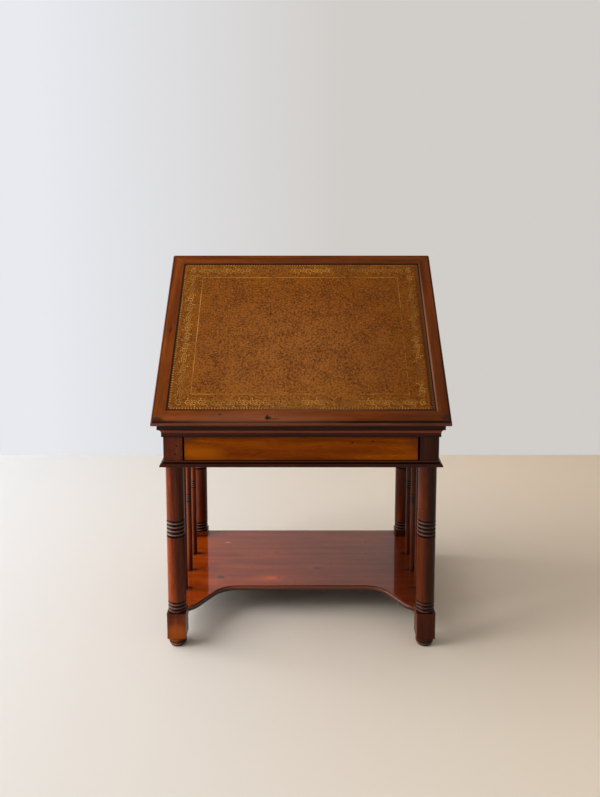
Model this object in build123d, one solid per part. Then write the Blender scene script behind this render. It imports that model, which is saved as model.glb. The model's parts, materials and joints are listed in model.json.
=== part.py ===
from build123d import *

import os
from math import cos, radians, sin, tan

# Tilting reading table in mahogany: a leather-lined top hinged along its front edge
# stands open on an easel prop, over a frieze drawer, turned legs, spindles and a low shelf.
# All sizes are in millimetres, +Z is up, and the front of the table faces -Y.
# The model is laid out round the middle of the four legs, then moved along Y at the end
# so that the origin is on the floor under the middle of the table's outer box.

os.makedirs("parts", exist_ok=True)

# Plan of the legs
leg_spacing_x = 527.0
leg_spacing_y = 389.0
leg_square = 39.0

# Heights of the frame
frame_top = 491.0
cornice_height = 28.4
frieze_height = 51.6
base_moulding_height = 11.0

# Fits and cuts
joint_gap = 0.05
loose_gap = 0.3
running_gap = 0.05
cut_overrun = 2.0

# Turned legs
foot_height = 19.5
foot_inset = 0.7
foot_sole_inset = 4.5
foot_neck_inset = 2.2
foot_neck_height = 1.6
foot_block_height = 55.5
shaft_upper_inset = 0.6
shaft_lower_inset = 0.2
ring_crest_inset = 0.05
ring_groove_depth = 2.6
mid_ring_centre = 261.0
mid_ring_count = 4
mid_ring_pitch = 8.4
low_ring_count = 3
low_ring_pitch = 7.8

# Rails and their tenons
rail_thickness = 27.0
lower_rail_depth = 60.0
tenon_thickness = 9.0
tenon_shoulder = 10.0
tenon_end_gap = 1.0

# Cornice, round the top of the frame
cornice_projection = 11.0
cornice_fillet_height = 5.6
cornice_fillet_projection = 3.5
cornice_step = 1.5
cornice_top_height = 11.5

# Shares of the cornice's hollow, across and up, where its curve is deepest
hollow_depth_share = 0.22
hollow_height_share = 0.62

# Moulding, round the foot of the frieze
base_moulding_projection = 8.0
base_moulding_nose_height = 7.0
base_moulding_lip_height = 2.0
base_moulding_bead_projection = 2.4
base_moulding_quirk_projection = 0.8

# Shelf and spindles
shelf_top = 63.0
shelf_thickness = 12.0
shelf_side_overhang = 6.0
shelf_housing = 7.5
shelf_nose_radius = 4.8
shelf_front_recess = 118.5
ogee_leg_gap = 11.5
ogee_inner_radius = 60.0
ogee_outer_radius = 53.0
ogee_slope = 57.0
ogee_end_slope = 25.0
spindle_spacing = 82.0
spindle_count = 3
spindle_radius = 6.3
spindle_ring_radius = 6.6
spindle_groove_depth = 1.4
spindle_ring_count = 3
spindle_ring_pitch = 5.0
spindle_ring_centre = 243.0
spindle_tenon_radius = 4.0
spindle_tenon_length = 8.0

# Drawer and what carries it
drawer_end_gap = 4.0
drawer_front_gap = 1.0
drawer_front_recess = 1.0
drawer_front_thickness = 18.0
drawer_lap = 12.0
drawer_back_clearance = 30.0
drawer_side_height = 40.0
drawer_side_thickness = 9.0
drawer_bottom_thickness = 5.0
drawer_bottom_rise = 3.5
drawer_groove_depth = 4.0
runner_width = 18.0
runner_side_gap = 0.6
guide_height = 30.0
kicker_width = 28.0
kicker_gap = 0.5
stop_length = 30.0
stop_depth = 20.0
stop_height = 2.6
stop_end_gap = 90.0

# Bed board under the top
bed_thickness = 9.0

# Tilting top
rest_tilt = 42.0
max_tilt = 56.0
top_gap = 0.3
top_thickness = 15.2
top_side_overhang = 11.0
top_front_overhang = 5.0
top_back_overhang = 1.7
top_band_width = 32.0
top_ledge_width = 12.0
top_fillet_inset = 3.6
top_fillet_depth = 3.0
top_nose_height = 5.2
top_under_round = 3.0
quarter_round_share = 0.293
panel_thickness = 5.0
leather_thickness = 1.6
leather_recess = 0.8

# Butt hinges of the top
hinge_setback = 0.3
hinge_leg_gap = 29.0
leaf_length = 50.0
leaf_width = 28.0
leaf_thickness = 1.6
knuckle_count = 3
knuckle_radius = 2.6
knuckle_gap = 0.2
hinge_pin_radius = 1.2

# Countersunk wood screws
screw_head_radius = 2.9
screw_head_depth = 1.5
screw_shank_radius = 1.4
screw_slot_width = 0.7
screw_slot_depth = 0.6
hinge_screw_length = 10.0
hinge_screw_end_gap = 8.0
hinge_screw_near = 17.0
hinge_screw_stagger = 6.0
rack_screw_length = 10.0
bracket_screw_length = 20.0
bracket_screw_spacing = 17.0

# Easel prop and its racks
prop_inset = 106.0
prop_arm_width = 16.0
prop_half_thickness = 7.0
prop_end_clearance = 11.0
prop_tenon_radius = 4.5
pivot_pin_radius = 2.5
pivot_head_radius = 4.5
pivot_head_length = 2.5
bracket_width = 18.0
bracket_length = 27.0
bracket_drop = 8.0
bracket_side_gap = 0.5
bracket_corner_radius = 4.0
rack_inset = 25.0
rack_width = 16.0
rack_base_height = 7.0
tooth_depth = 5.0
tooth_crest = 3.0
tooth_pitch = 15.0
rack_end_pad = 13.0

# Places worked out from the sizes above
leg_x = leg_spacing_x / 2
leg_y = leg_spacing_y / 2
leg_half = leg_square / 2
frame_x = leg_x + leg_half
frame_y = leg_y + leg_half
inner_x = leg_x - leg_half
inner_y = leg_y - leg_half
rail_inner_x = frame_x - rail_thickness
rail_inner_y = frame_y - rail_thickness
frieze_top = frame_top - cornice_height
frieze_bottom = frieze_top - frieze_height
rail_bottom = frieze_bottom - base_moulding_height
foot_block_top = foot_height + foot_block_height
shelf_bottom = shelf_top - shelf_thickness
tenon_length = leg_half - tenon_end_gap
axis_y = -(frame_y + cornice_projection + hinge_setback)
axis_z = frame_top + top_gap / 2
top_front_y = axis_y - top_front_overhang
top_back_y = frame_y + cornice_projection + top_back_overhang
top_centre_y = (top_front_y + top_back_y) / 2
top_width = 2 * (frame_x + cornice_projection + top_side_overhang)
top_length = top_back_y - top_front_y
top_under = frame_top + top_gap
rail_full_width = top_band_width + top_ledge_width
ledge_height = top_thickness - leather_recess - leather_thickness - panel_thickness
prop_reach = top_back_y - rail_full_width - axis_y - prop_end_clearance - prop_half_thickness
prop_length = prop_reach / 2
crest_top = axis_z - prop_half_thickness - loose_gap
bed_top = crest_top - tooth_depth - rack_base_height
bed_bottom = bed_top - bed_thickness
drawer_x = inner_x - drawer_end_gap
drawer_face_y = -frame_y + drawer_front_recess
drawer_inner_y = drawer_face_y + drawer_front_thickness
drawer_back_y = rail_inner_y - drawer_back_clearance
drawer_side_bottom = frieze_bottom + loose_gap
drawer_side_top = drawer_side_bottom + drawer_side_height
guide_x = drawer_x + runner_side_gap
stop_x = drawer_x - stop_end_gap
hinge_x = inner_x - hinge_leg_gap - leaf_length / 2
prop_x = rail_inner_x - prop_inset
bracket_x = prop_x + prop_arm_width / 2 + bracket_side_gap + bracket_width / 2

SIDES = (("left", -1), ("right", 1))
ENDS = (("front", -1), ("back", 1))
parts = {}


def block(x0, x1, y0, y1, z0, z1):
    """Squared timber between two corners."""
    centre = Pos((x0 + x1) / 2, (y0 + y1) / 2, (z0 + z1) / 2)
    return centre * Box(abs(x1 - x0), abs(y1 - y0), abs(z1 - z0))


def rod(radius, x0, x1, y=0, z=0):
    """Round bar along X."""
    return Pos((x0 + x1) / 2, y, z) * Rot(0, 90, 0) * Cylinder(radius, abs(x1 - x0))


def group(shapes):
    """Like pieces kept together in one node as separate solids."""
    return Compound([solid for shape in shapes for solid in shape.solids()])


def section(points):
    """Face in the YZ plane through the given (y, z) points."""
    return make_face(Polyline(*[(0, y, z) for y, z in points], close=True))


def straight(points):
    """Straight edges through (radius, height) points, for a turned outline."""
    ends = [(radius, 0, height) for radius, height in points]
    return [Line(a, b) for a, b in zip(ends, ends[1:])]


def ring_arcs(low, count, pitch, crest, groove):
    """Outline arcs of a stack of turned rings, from the lowest one up."""
    arcs = []
    for index in range(count):
        start = low + index * pitch
        middle = start + pitch / 2
        arcs.append(ThreePointArc((groove, 0, start), (crest, 0, middle), (groove, 0, start + pitch)))
    return arcs


def turned(edges):
    """Solid turned about the Z axis from a closed outline in the XZ plane."""
    return revolve(make_face(edges), Axis.Z)


def mitred_length(profile, outer_length, depth, height):
    """Moulding along X with its outer edge on Y = 0, mitred at both ends."""
    half = outer_length / 2
    over = cut_overrun
    outer = half + over
    inner = half - depth - over
    far = depth + over
    plan = Polyline((-outer, -over), (outer, -over), (inner, far), (-inner, far), close=True)
    wedge = extrude(make_face(plan), height + over)
    wedge += extrude(make_face(plan), -over)
    return extrude(profile, half, (1, 0, 0), both=True) & wedge


def moulding_round(name, profile, size, depth, height, centre_y, base):
    """The four mitred lengths round a rectangle of the given outer size, by node name."""
    outer_x, outer_y = size
    layout = (
        ("front", outer_x, outer_y, 0),
        ("back", outer_x, outer_y, 180),
        ("left", outer_y, outer_x, -90),
        ("right", outer_y, outer_x, 90),
    )
    lengths = {}
    for side, length, across, turn in layout:
        piece = mitred_length(profile, length, depth, height)
        placed = Rot(0, 0, turn) * Pos(0, -across / 2, 0) * piece
        lengths[name + "_" + side] = Pos(0, centre_y, base) * placed
    return lengths


def screw(length, slotted=True, gap=0):
    """Countersunk wood screw with its head's face on Z = 0, pointing down."""
    head = screw_head_radius + gap
    shank = screw_shank_radius + gap
    end = -(length + gap)
    edges = straight([(0, 0), (head, 0), (shank, -screw_head_depth), (shank, end), (0, end), (0, 0)])
    body = turned(edges)
    if slotted:
        body -= Box(2 * screw_head_radius, screw_slot_width, 2 * screw_slot_depth)
    return body


def tilted(shape):
    """Turn a piece of the closed top up to its rest angle about the hinge axis."""
    return Pos(0, axis_y, axis_z) * Rot(rest_tilt, 0, 0) * Pos(0, -axis_y, -axis_z) * shape


def propped(shape):
    """Swing a piece of the folded prop out by twice the tilt, then lift it with the top."""
    pivot = Pos(0, axis_y + prop_length, axis_z)
    back = Pos(0, -axis_y - prop_length, -axis_z)
    return tilted(pivot * Rot(-2 * rest_tilt, 0, 0) * back * shape)


def foot_outline():
    """Bun foot: flat sole, rounded edge and a short neck."""
    sole = leg_half - foot_sole_inset
    bulge = leg_half - foot_inset
    neck = leg_half - foot_neck_inset
    shoulder = foot_height - foot_neck_height
    edges = straight([(0, 0), (sole, 0)])
    edges.append(ThreePointArc((sole, 0, 0), (bulge, 0, shoulder / 2), (neck, 0, shoulder)))
    return edges + straight([(neck, shoulder), (neck, foot_height), (0, foot_height), (0, 0)])


def shaft_outline():
    """Round shaft with a stack of rings half way up and another on the foot block."""
    upper = leg_half - shaft_upper_inset
    lower = leg_half - shaft_lower_inset
    crest = leg_half - ring_crest_inset
    groove = crest - ring_groove_depth
    mid_low = mid_ring_centre - mid_ring_count * mid_ring_pitch / 2
    mid_high = mid_low + mid_ring_count * mid_ring_pitch
    low_high = foot_block_top + low_ring_count * low_ring_pitch
    edges = straight([(0, foot_block_top), (groove, foot_block_top)])
    edges += ring_arcs(foot_block_top, low_ring_count, low_ring_pitch, crest, groove)
    edges += straight([(groove, low_high), (lower, low_high), (lower, mid_low), (groove, mid_low)])
    edges += ring_arcs(mid_low, mid_ring_count, mid_ring_pitch, crest, groove)
    edges += straight([(groove, mid_high), (upper, mid_high), (upper, rail_bottom), (0, rail_bottom)])
    return edges + straight([(0, rail_bottom), (0, foot_block_top)])


def leg():
    """Leg on its own axis: square top block, turned shaft, foot block and bun foot."""
    solid = block(-leg_half, leg_half, -leg_half, leg_half, rail_bottom, frame_top)
    solid += turned(shaft_outline())
    solid += block(-leg_half, leg_half, -leg_half, leg_half, foot_height, foot_block_top)
    return solid + turned(foot_outline())


def shelf_outline():
    """Right half of the shelf's plan, from the middle of its front edge to its back."""
    slope = radians(ogee_slope)
    end_slope = radians(ogee_end_slope)
    start_y = -leg_y + shelf_front_recess
    end_y = -inner_y + ogee_leg_gap
    turn_x = inner_x - ogee_outer_radius * (sin(slope) - sin(end_slope))
    turn_y = end_y + ogee_outer_radius * (cos(end_slope) - cos(slope))
    bend_y = start_y - ogee_inner_radius * (1 - cos(slope))
    bend_x = turn_x - (bend_y - turn_y) / tan(slope)
    start_x = bend_x - ogee_inner_radius * sin(slope)
    inner_mid_x = start_x + ogee_inner_radius * sin(slope / 2)
    inner_mid_y = start_y - ogee_inner_radius * (1 - cos(slope / 2))
    half_slope = (slope + end_slope) / 2
    outer_mid_x = turn_x + ogee_outer_radius * (sin(slope) - sin(half_slope))
    outer_mid_y = turn_y - ogee_outer_radius * (cos(half_slope) - cos(slope))
    front_y = -inner_y - shelf_housing
    edge_x = frame_x + shelf_side_overhang
    notch_x = inner_x + shelf_housing
    notch_y = inner_y + shelf_housing
    start = start_x, start_y
    bend = bend_x, bend_y
    turn = turn_x, turn_y
    edges = [Line((0, start_y), start)]
    edges.append(ThreePointArc(start, (inner_mid_x, inner_mid_y), bend))
    edges.append(Line(bend, turn))
    edges.append(ThreePointArc(turn, (outer_mid_x, outer_mid_y), (inner_x, end_y)))
    rest = [(inner_x, end_y), (inner_x, front_y), (edge_x, front_y), (edge_x, notch_y)]
    rest += [(notch_x, notch_y), (notch_x, frame_y), (0, frame_y)]
    return edges + [Line(a, b) for a, b in zip(rest, rest[1:])]


def shelf():
    """Shelf with a rounded nose, cut square only where it is let into the foot blocks."""
    half = shelf_outline()
    closing = Line((0, frame_y), (0, -leg_y + shelf_front_recess))
    right = extrude(make_face(half + [closing]), shelf_thickness)
    board = right + mirror(right, Plane.YZ)
    nose = ShapeList()
    for edge in board.edges():
        spot = edge.center()
        level = edge.bounding_box().size.Z < loose_gap
        front = abs(spot.X) < inner_x - loose_gap and spot.Y < 0
        side = abs(spot.X) > frame_x + shelf_side_overhang - loose_gap
        back = spot.Y > frame_y - loose_gap
        if level and (front or side or back):
            nose.append(edge)
    return Pos(0, 0, shelf_bottom) * fillet(nose, shelf_nose_radius)


def housing():
    """Space that the shelf takes out of the foot blocks."""
    edge_x = frame_x + shelf_side_overhang
    low = shelf_bottom - joint_gap
    high = shelf_top + joint_gap
    long_cut = block(-edge_x, edge_x, -inner_y - shelf_housing, inner_y + shelf_housing, low, high)
    back_x = inner_x + shelf_housing
    return long_cut + block(-back_x, back_x, 0, frame_y + cut_overrun, low, high)


def spindle():
    """Turned spindle on its own axis, with a tenon at each end and three rings."""
    low = spindle_ring_centre - spindle_ring_count * spindle_ring_pitch / 2
    high = low + spindle_ring_count * spindle_ring_pitch
    groove = spindle_ring_radius - spindle_groove_depth
    radius = spindle_radius
    tenon = spindle_tenon_radius
    foot = shelf_top - spindle_tenon_length
    head = rail_bottom + spindle_tenon_length
    edges = straight([(0, foot), (tenon, foot), (tenon, shelf_top), (radius, shelf_top)])
    edges += straight([(radius, shelf_top), (radius, low), (groove, low)])
    edges += ring_arcs(low, spindle_ring_count, spindle_ring_pitch, spindle_ring_radius, groove)
    edges += straight([(groove, high), (radius, high), (radius, rail_bottom), (tenon, rail_bottom)])
    edges += straight([(tenon, rail_bottom), (tenon, head), (0, head), (0, foot)])
    return turned(edges)


def spindle_hole(side, y, foot, head):
    """Round mortise for one end of a spindle."""
    depth = head - foot
    return Pos(side * leg_x, y, (foot + head) / 2) * Cylinder(spindle_tenon_radius + joint_gap, depth)


def tenon_x(side, y, low, high, grow=0):
    """Tenon that runs along X into a leg, or the mortise for it."""
    half = tenon_thickness / 2 + grow
    bottom = low + tenon_shoulder - grow
    top = high - tenon_shoulder + grow
    return block(side * inner_x, side * (inner_x + tenon_length + grow), y - half, y + half, bottom, top)


def tenon_y(x, end, grow=0):
    """Tenon of a side rail that runs along Y into a leg, or the mortise for it."""
    half = tenon_thickness / 2 + grow
    bottom = rail_bottom + tenon_shoulder - grow
    top = frame_top - tenon_shoulder + grow
    return block(x - half, x + half, end * inner_y, end * (inner_y + tenon_length + grow), bottom, top)


def hinge_screw_places():
    """Screw places on one leaf, as (x, distance from the hinge axis)."""
    reach = leaf_length / 2 - hinge_screw_end_gap
    places = []
    for share in (-1, 0, 1):
        inset = hinge_screw_near + (hinge_screw_stagger if share else 0)
        places.append((share * reach, inset))
    return places


def hinge_screws(centre_x, on_top, slotted=True, gap=0):
    """Three screws of one leaf, pointing into the frame or up into the closed top."""
    shape = screw(hinge_screw_length, slotted, gap)
    placed = []
    for x, inset in hinge_screw_places():
        spot = (centre_x + x, axis_y + inset)
        if on_top:
            placed.append(Pos(*spot, top_under) * Rot(180, 0, 0) * shape)
        else:
            placed.append(Pos(*spot, frame_top) * shape)
    return placed


def knuckle(x0, x1, grow=0):
    """Barrel round the hinge axis."""
    return rod(knuckle_radius + grow, x0, x1, axis_y, axis_z)


def leaf(centre_x, on_top):
    """One hinge leaf: the frame's carries the outer knuckles, the top's the middle one."""
    half = leaf_length / 2
    near = leaf_length / knuckle_count / 2 - knuckle_gap / 2
    far = near + knuckle_gap
    low = top_under if on_top else frame_top - leaf_thickness
    plate = block(-half, half, axis_y, axis_y + leaf_width, low, low + leaf_thickness)
    own = [(-near, near)] if on_top else [(-half, -far), (far, half)]
    others = [(-half - cut_overrun, -near), (near, half + cut_overrun)] if on_top else [(-far, far)]
    for x0, x1 in others:
        plate -= knuckle(x0, x1, knuckle_gap)
    for x0, x1 in own:
        plate += knuckle(x0, x1)
    plate -= rod(hinge_pin_radius + running_gap, -half - cut_overrun, half + cut_overrun, axis_y, axis_z)
    plate = Pos(centre_x, 0, 0) * plate
    for hole in hinge_screws(centre_x, on_top, False, joint_gap):
        plate -= hole
    return plate


def hinge_seat(centre_x, on_top):
    """Space that a leaf and the knuckles take out of the wood."""
    half = leaf_length / 2 + joint_gap
    if on_top:
        low, high = top_under - cut_overrun, top_under + leaf_thickness + joint_gap
    else:
        low, high = frame_top - leaf_thickness - joint_gap, frame_top + cut_overrun
    back = axis_y + leaf_width + joint_gap
    seat = block(centre_x - half, centre_x + half, axis_y, back, low, high)
    seat += knuckle(centre_x - half - knuckle_gap, centre_x + half + knuckle_gap, loose_gap)
    for hole in hinge_screws(centre_x, on_top, False, joint_gap):
        seat += hole
    return seat


def build_legs():
    """Four legs, each with its mortises and the housing for the shelf."""
    shape = leg()
    shelf_space = housing()
    back_y = (frame_y + rail_inner_y) / 2
    rail_x = (frame_x + rail_inner_x) / 2
    for end_name, end in ENDS:
        for side_name, side in SIDES:
            solid = Pos(side * leg_x, end * leg_y, 0) * shape
            low = rail_bottom if end > 0 else frieze_top
            solid -= shelf_space
            solid -= tenon_x(side, end * back_y, low, frame_top, joint_gap)
            solid -= tenon_y(side * rail_x, end, joint_gap)
            parts["leg_" + end_name + "_" + side_name] = solid


def build_rails():
    """Side and back rails, and the rails over and under the drawer."""
    rail_x = (frame_x + rail_inner_x) / 2
    middle_y = (frame_y + rail_inner_y) / 2
    for side_name, side in SIDES:
        rail = block(side * rail_inner_x, side * frame_x, -inner_y, inner_y, rail_bottom, frame_top)
        for _, end in ENDS:
            rail += tenon_y(side * rail_x, end)
        hole_end = rail_bottom + spindle_tenon_length + joint_gap
        for y in spindle_places():
            rail -= spindle_hole(side, y, rail_bottom - cut_overrun, hole_end)
        parts["side_rail_" + side_name] = rail
    back = block(-inner_x, inner_x, rail_inner_y, frame_y, rail_bottom, frame_top)
    upper = block(-inner_x, inner_x, -frame_y, -rail_inner_y, frieze_top, frame_top)
    for _, side in SIDES:
        back += tenon_x(side, middle_y, rail_bottom, frame_top)
        upper += tenon_x(side, -middle_y, frieze_top, frame_top)
        upper -= hinge_seat(side * hinge_x, False)
    parts["back_rail"] = back
    parts["drawer_rail_upper"] = upper
    lower_back = -frame_y + lower_rail_depth
    parts["drawer_rail_lower"] = block(-inner_x, inner_x, -frame_y, lower_back, rail_bottom, frieze_bottom)


def cornice_profile():
    """Section of the cornice: small fillet, hollow and deep top fillet."""
    front = cornice_projection
    hollow_low = cornice_fillet_height
    hollow_high = cornice_height - cornice_top_height
    near = front - cornice_fillet_projection
    far = cornice_step
    bow_y = near - (near - far) * hollow_depth_share
    bow_z = hollow_low + (hollow_high - hollow_low) * hollow_height_share
    edges = [Line((0, front, 0), (0, near, 0)), Line((0, near, 0), (0, near, hollow_low))]
    edges.append(ThreePointArc((0, near, hollow_low), (0, bow_y, bow_z), (0, far, hollow_high)))
    edges.append(Line((0, far, hollow_high), (0, 0, hollow_high)))
    edges.append(Line((0, 0, hollow_high), (0, 0, cornice_height)))
    edges.append(Line((0, 0, cornice_height), (0, front, cornice_height)))
    edges.append(Line((0, front, cornice_height), (0, front, 0)))
    return make_face(edges)


def base_moulding_profile():
    """Section of the moulding under the frieze: a small bead over a wider nose."""
    depth = base_moulding_projection
    high = base_moulding_height
    nose = base_moulding_nose_height
    lip = base_moulding_lip_height
    quirk = depth - base_moulding_quirk_projection
    bead = depth - base_moulding_bead_projection
    bow = quirk * quarter_round_share, nose - (nose - lip) * quarter_round_share
    edges = [Line((0, depth, 0), (0, 0, 0)), Line((0, 0, 0), (0, 0, lip))]
    edges.append(ThreePointArc((0, 0, lip), (0, *bow), (0, quirk, nose)))
    edges.append(ThreePointArc((0, quirk, nose), (0, bead, (nose + high) / 2), (0, quirk, high)))
    edges.append(Line((0, quirk, high), (0, depth, high)))
    edges.append(Line((0, depth, high), (0, depth, 0)))
    return make_face(edges)


def top_rail_profile():
    """Section of the top's frame: fillet, thumb nose, flat band and the panel's ledge."""
    height = top_thickness
    lip = height - top_fillet_depth
    flat = top_fillet_inset
    nose_low = lip - top_nose_height
    under = top_under_round
    bow = flat * quarter_round_share, lip - top_nose_height * quarter_round_share
    ease = under * quarter_round_share
    edges = [Line((0, flat, height), (0, flat, lip))]
    edges.append(ThreePointArc((0, flat, lip), (0, *bow), (0, 0, nose_low)))
    edges.append(Line((0, 0, nose_low), (0, 0, under)))
    edges.append(ThreePointArc((0, 0, under), (0, ease, ease), (0, under, 0)))
    rest = [(under, 0), (rail_full_width, 0), (rail_full_width, ledge_height)]
    rest += [(top_band_width, ledge_height), (top_band_width, height), (flat, height)]
    edges += [Line((0, *a), (0, *b)) for a, b in zip(rest, rest[1:])]
    return make_face(edges)


def build_mouldings():
    """Cornice and base moulding, planted round the frieze in mitred lengths."""
    size = 2 * (frame_x + cornice_projection), 2 * (frame_y + cornice_projection)
    profile = cornice_profile()
    lengths = moulding_round("cornice", profile, size, cornice_projection, cornice_height, 0, frieze_top)
    for _, side in SIDES:
        lengths["cornice_front"] -= hinge_seat(side * hinge_x, False)
    parts.update(lengths)
    depth = base_moulding_projection
    size = 2 * (frame_x + depth), 2 * (frame_y + depth)
    profile = base_moulding_profile()
    lengths = moulding_round("base_moulding", profile, size, depth, base_moulding_height, 0, rail_bottom)
    parts.update(lengths)


def spindle_places():
    """Y of each spindle of a side, from front to back."""
    middle = (spindle_count - 1) / 2
    return [(index - middle) * spindle_spacing for index in range(spindle_count)]


def build_shelf():
    """Shelf and the spindles that stand on it."""
    board = shelf()
    shape = spindle()
    names = ("front", "middle", "back")
    hole_end = shelf_top - spindle_tenon_length - joint_gap
    for side_name, side in SIDES:
        for name, y in zip(names, spindle_places()):
            board -= spindle_hole(side, y, hole_end, shelf_top + cut_overrun)
            parts["spindle_" + side_name + "_" + name] = Pos(side * leg_x, y, 0) * shape
    parts["shelf"] = board


def build_bed():
    """Bed board that closes the frame over the drawer, notched round the leg tops."""
    half_x = rail_inner_x - loose_gap
    half_y = rail_inner_y - loose_gap
    notch_x = inner_x - loose_gap
    notch_y = inner_y - loose_gap
    board = block(-half_x, half_x, -half_y, half_y, bed_bottom, bed_top)
    for _, side in SIDES:
        for _, end in ENDS:
            near, far = end * notch_y, end * frame_y
            board -= block(side * notch_x, side * frame_x, near, far, bed_bottom, bed_top)
    parts["bed_board"] = board


def build_drawer_carriage():
    """Runners, guides and kickers on the side rails, and the stops on the lower rail."""
    runner_front = -frame_y + lower_rail_depth
    kicker_bottom = drawer_side_top + kicker_gap
    for side_name, side in SIDES:
        inside = side * (guide_x - runner_width)
        runner = block(inside, side * guide_x, runner_front, rail_inner_y, rail_bottom, frieze_bottom)
        guide_top = rail_bottom + guide_height
        guide = block(side * guide_x, side * rail_inner_x, runner_front, inner_y, rail_bottom, guide_top)
        kicker_x = side * (rail_inner_x - kicker_width)
        kicker = block(kicker_x, side * rail_inner_x, -inner_y, inner_y, kicker_bottom, bed_bottom)
        parts["drawer_runner_" + side_name] = runner
        parts["drawer_guide_" + side_name] = guide
        parts["drawer_kicker_" + side_name] = kicker
    near = drawer_inner_y + loose_gap
    top = frieze_bottom + stop_height
    stops = []
    for _, side in SIDES:
        middle = side * stop_x
        half = stop_length / 2
        stops.append(block(middle - half, middle + half, near, near + stop_depth, frieze_bottom, top))
    parts["drawer_stops"] = group(stops)


def build_drawer():
    """Drawer: flush front lapped over the sides, back, and a bottom in grooves."""
    bottom_z = drawer_side_bottom + drawer_bottom_rise
    bottom_top = bottom_z + drawer_bottom_thickness
    inside_x = drawer_x - drawer_side_thickness
    groove_x = inside_x + drawer_groove_depth
    lap_y = drawer_inner_y - drawer_lap
    low = frieze_bottom + drawer_front_gap
    high = frieze_top - drawer_front_gap
    gap = joint_gap
    front = block(-drawer_x, drawer_x, drawer_face_y, drawer_inner_y, low, high)
    groove_front = drawer_inner_y - drawer_groove_depth
    board = block(-groove_x, groove_x, groove_front, drawer_back_y, bottom_z, bottom_top)
    slot_x = groove_x + gap
    slot_back = drawer_back_y + cut_overrun
    slot = block(-slot_x, slot_x, groove_front - gap, slot_back, bottom_z - gap, bottom_top + gap)
    lap_back = drawer_inner_y + cut_overrun
    for side_name, side in SIDES:
        near = side * inside_x
        far = side * drawer_x
        side_board = block(near, far, lap_y, drawer_back_y, drawer_side_bottom, drawer_side_top)
        parts["drawer_side_" + side_name] = side_board - slot
        near = side * (inside_x - gap)
        far = side * (drawer_x + cut_overrun)
        front -= block(near, far, lap_y - gap, lap_back, low - cut_overrun, drawer_side_top + gap)
    parts["drawer_front"] = front - slot
    parts["drawer_bottom"] = board
    near = drawer_back_y - drawer_side_thickness
    back = block(-inside_x, inside_x, near, drawer_back_y, bottom_top + gap, drawer_side_top)
    parts["drawer_back"] = back


def build_top():
    """Mitred frame, panel and leather of the top, modelled closed and turned up."""
    size = (top_width, top_length)
    profile = top_rail_profile()
    width = rail_full_width
    rails = moulding_round("top_rail", profile, size, width, top_thickness, top_centre_y, top_under)
    for _, side in SIDES:
        rails["top_rail_front"] -= hinge_seat(side * hinge_x, True)
    for name, rail in rails.items():
        parts[name] = tilted(rail)
    half_x = top_width / 2 - top_band_width - joint_gap
    front = top_front_y + top_band_width + joint_gap
    back = top_back_y - top_band_width - joint_gap
    panel_low = top_under + ledge_height
    panel_high = panel_low + panel_thickness
    panel = block(-half_x, half_x, front, back, panel_low, panel_high)
    for hole in bracket_screws(False, joint_gap):
        panel -= hole
    leather_high = panel_high + leather_thickness
    parts["top_panel"] = tilted(panel)
    parts["leather_inset"] = tilted(block(-half_x, half_x, front, back, panel_high, leather_high))


def build_hinges():
    """Two butt hinges with their pins and screws."""
    half = leaf_length / 2
    pins = []
    frame_screws = []
    top_screws = []
    for side_name, side in SIDES:
        x = side * hinge_x
        parts["hinge_leaf_frame_" + side_name] = leaf(x, False)
        parts["hinge_leaf_top_" + side_name] = tilted(leaf(x, True))
        pins.append(rod(hinge_pin_radius, x - half, x + half, axis_y, axis_z))
        frame_screws += hinge_screws(x, False)
        top_screws += [tilted(item) for item in hinge_screws(x, True)]
    parts["hinge_pins"] = group(pins)
    parts["hinge_frame_screws"] = group(frame_screws)
    parts["hinge_top_screws"] = group(top_screws)


def bracket_screws(slotted=True, gap=0):
    """Two screws up through each bracket into the panel of the closed top."""
    shape = screw(bracket_screw_length, slotted, gap)
    placed = []
    for _, side in SIDES:
        x = side * bracket_x
        for end in (-1, 1):
            y = axis_y + prop_length + end * bracket_screw_spacing / 2
            placed.append(Pos(x, y, axis_z - bracket_drop) * Rot(180, 0, 0) * shape)
    return placed


def build_prop():
    """Easel prop: two arms on pins in brackets, and the foot bar that rides on the racks."""
    pivot_y = axis_y + prop_length
    foot_y = pivot_y + prop_length
    radius = prop_half_thickness
    half_width = prop_arm_width / 2
    pins = []
    screws = bracket_screws()
    for side_name, side in SIDES:
        centre = side * prop_x
        near = centre - half_width
        far = centre + half_width
        arm = block(near, far, pivot_y, foot_y, axis_z - radius, axis_z + radius)
        arm += rod(radius, near, far, pivot_y, axis_z) + rod(radius, near, far, foot_y, axis_z)
        over = cut_overrun
        arm -= rod(pivot_pin_radius + running_gap, near - over, far + over, pivot_y, axis_z)
        arm -= rod(prop_tenon_radius + joint_gap, near - over, far + over, foot_y, axis_z)
        parts["prop_arm_" + side_name] = propped(arm)
        parts["prop_bracket_" + side_name] = tilted(bracket(side))
        inner = side * (prop_x - half_width - bracket_side_gap / 2)
        outer = side * (bracket_x + bracket_width / 2)
        pin = rod(pivot_pin_radius, inner, outer, pivot_y, axis_z)
        pin += rod(pivot_head_radius, inner - side * pivot_head_length, inner, pivot_y, axis_z)
        pins.append(tilted(pin))
    inside = prop_x - half_width
    outside = prop_x + half_width
    bar = rod(radius, -inside, inside, foot_y, axis_z)
    bar += rod(prop_tenon_radius, -outside, outside, foot_y, axis_z)
    parts["prop_foot_bar"] = propped(bar)
    parts["prop_pivot_pins"] = group(pins)
    parts["prop_bracket_screws"] = group([tilted(item) for item in screws])


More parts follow.
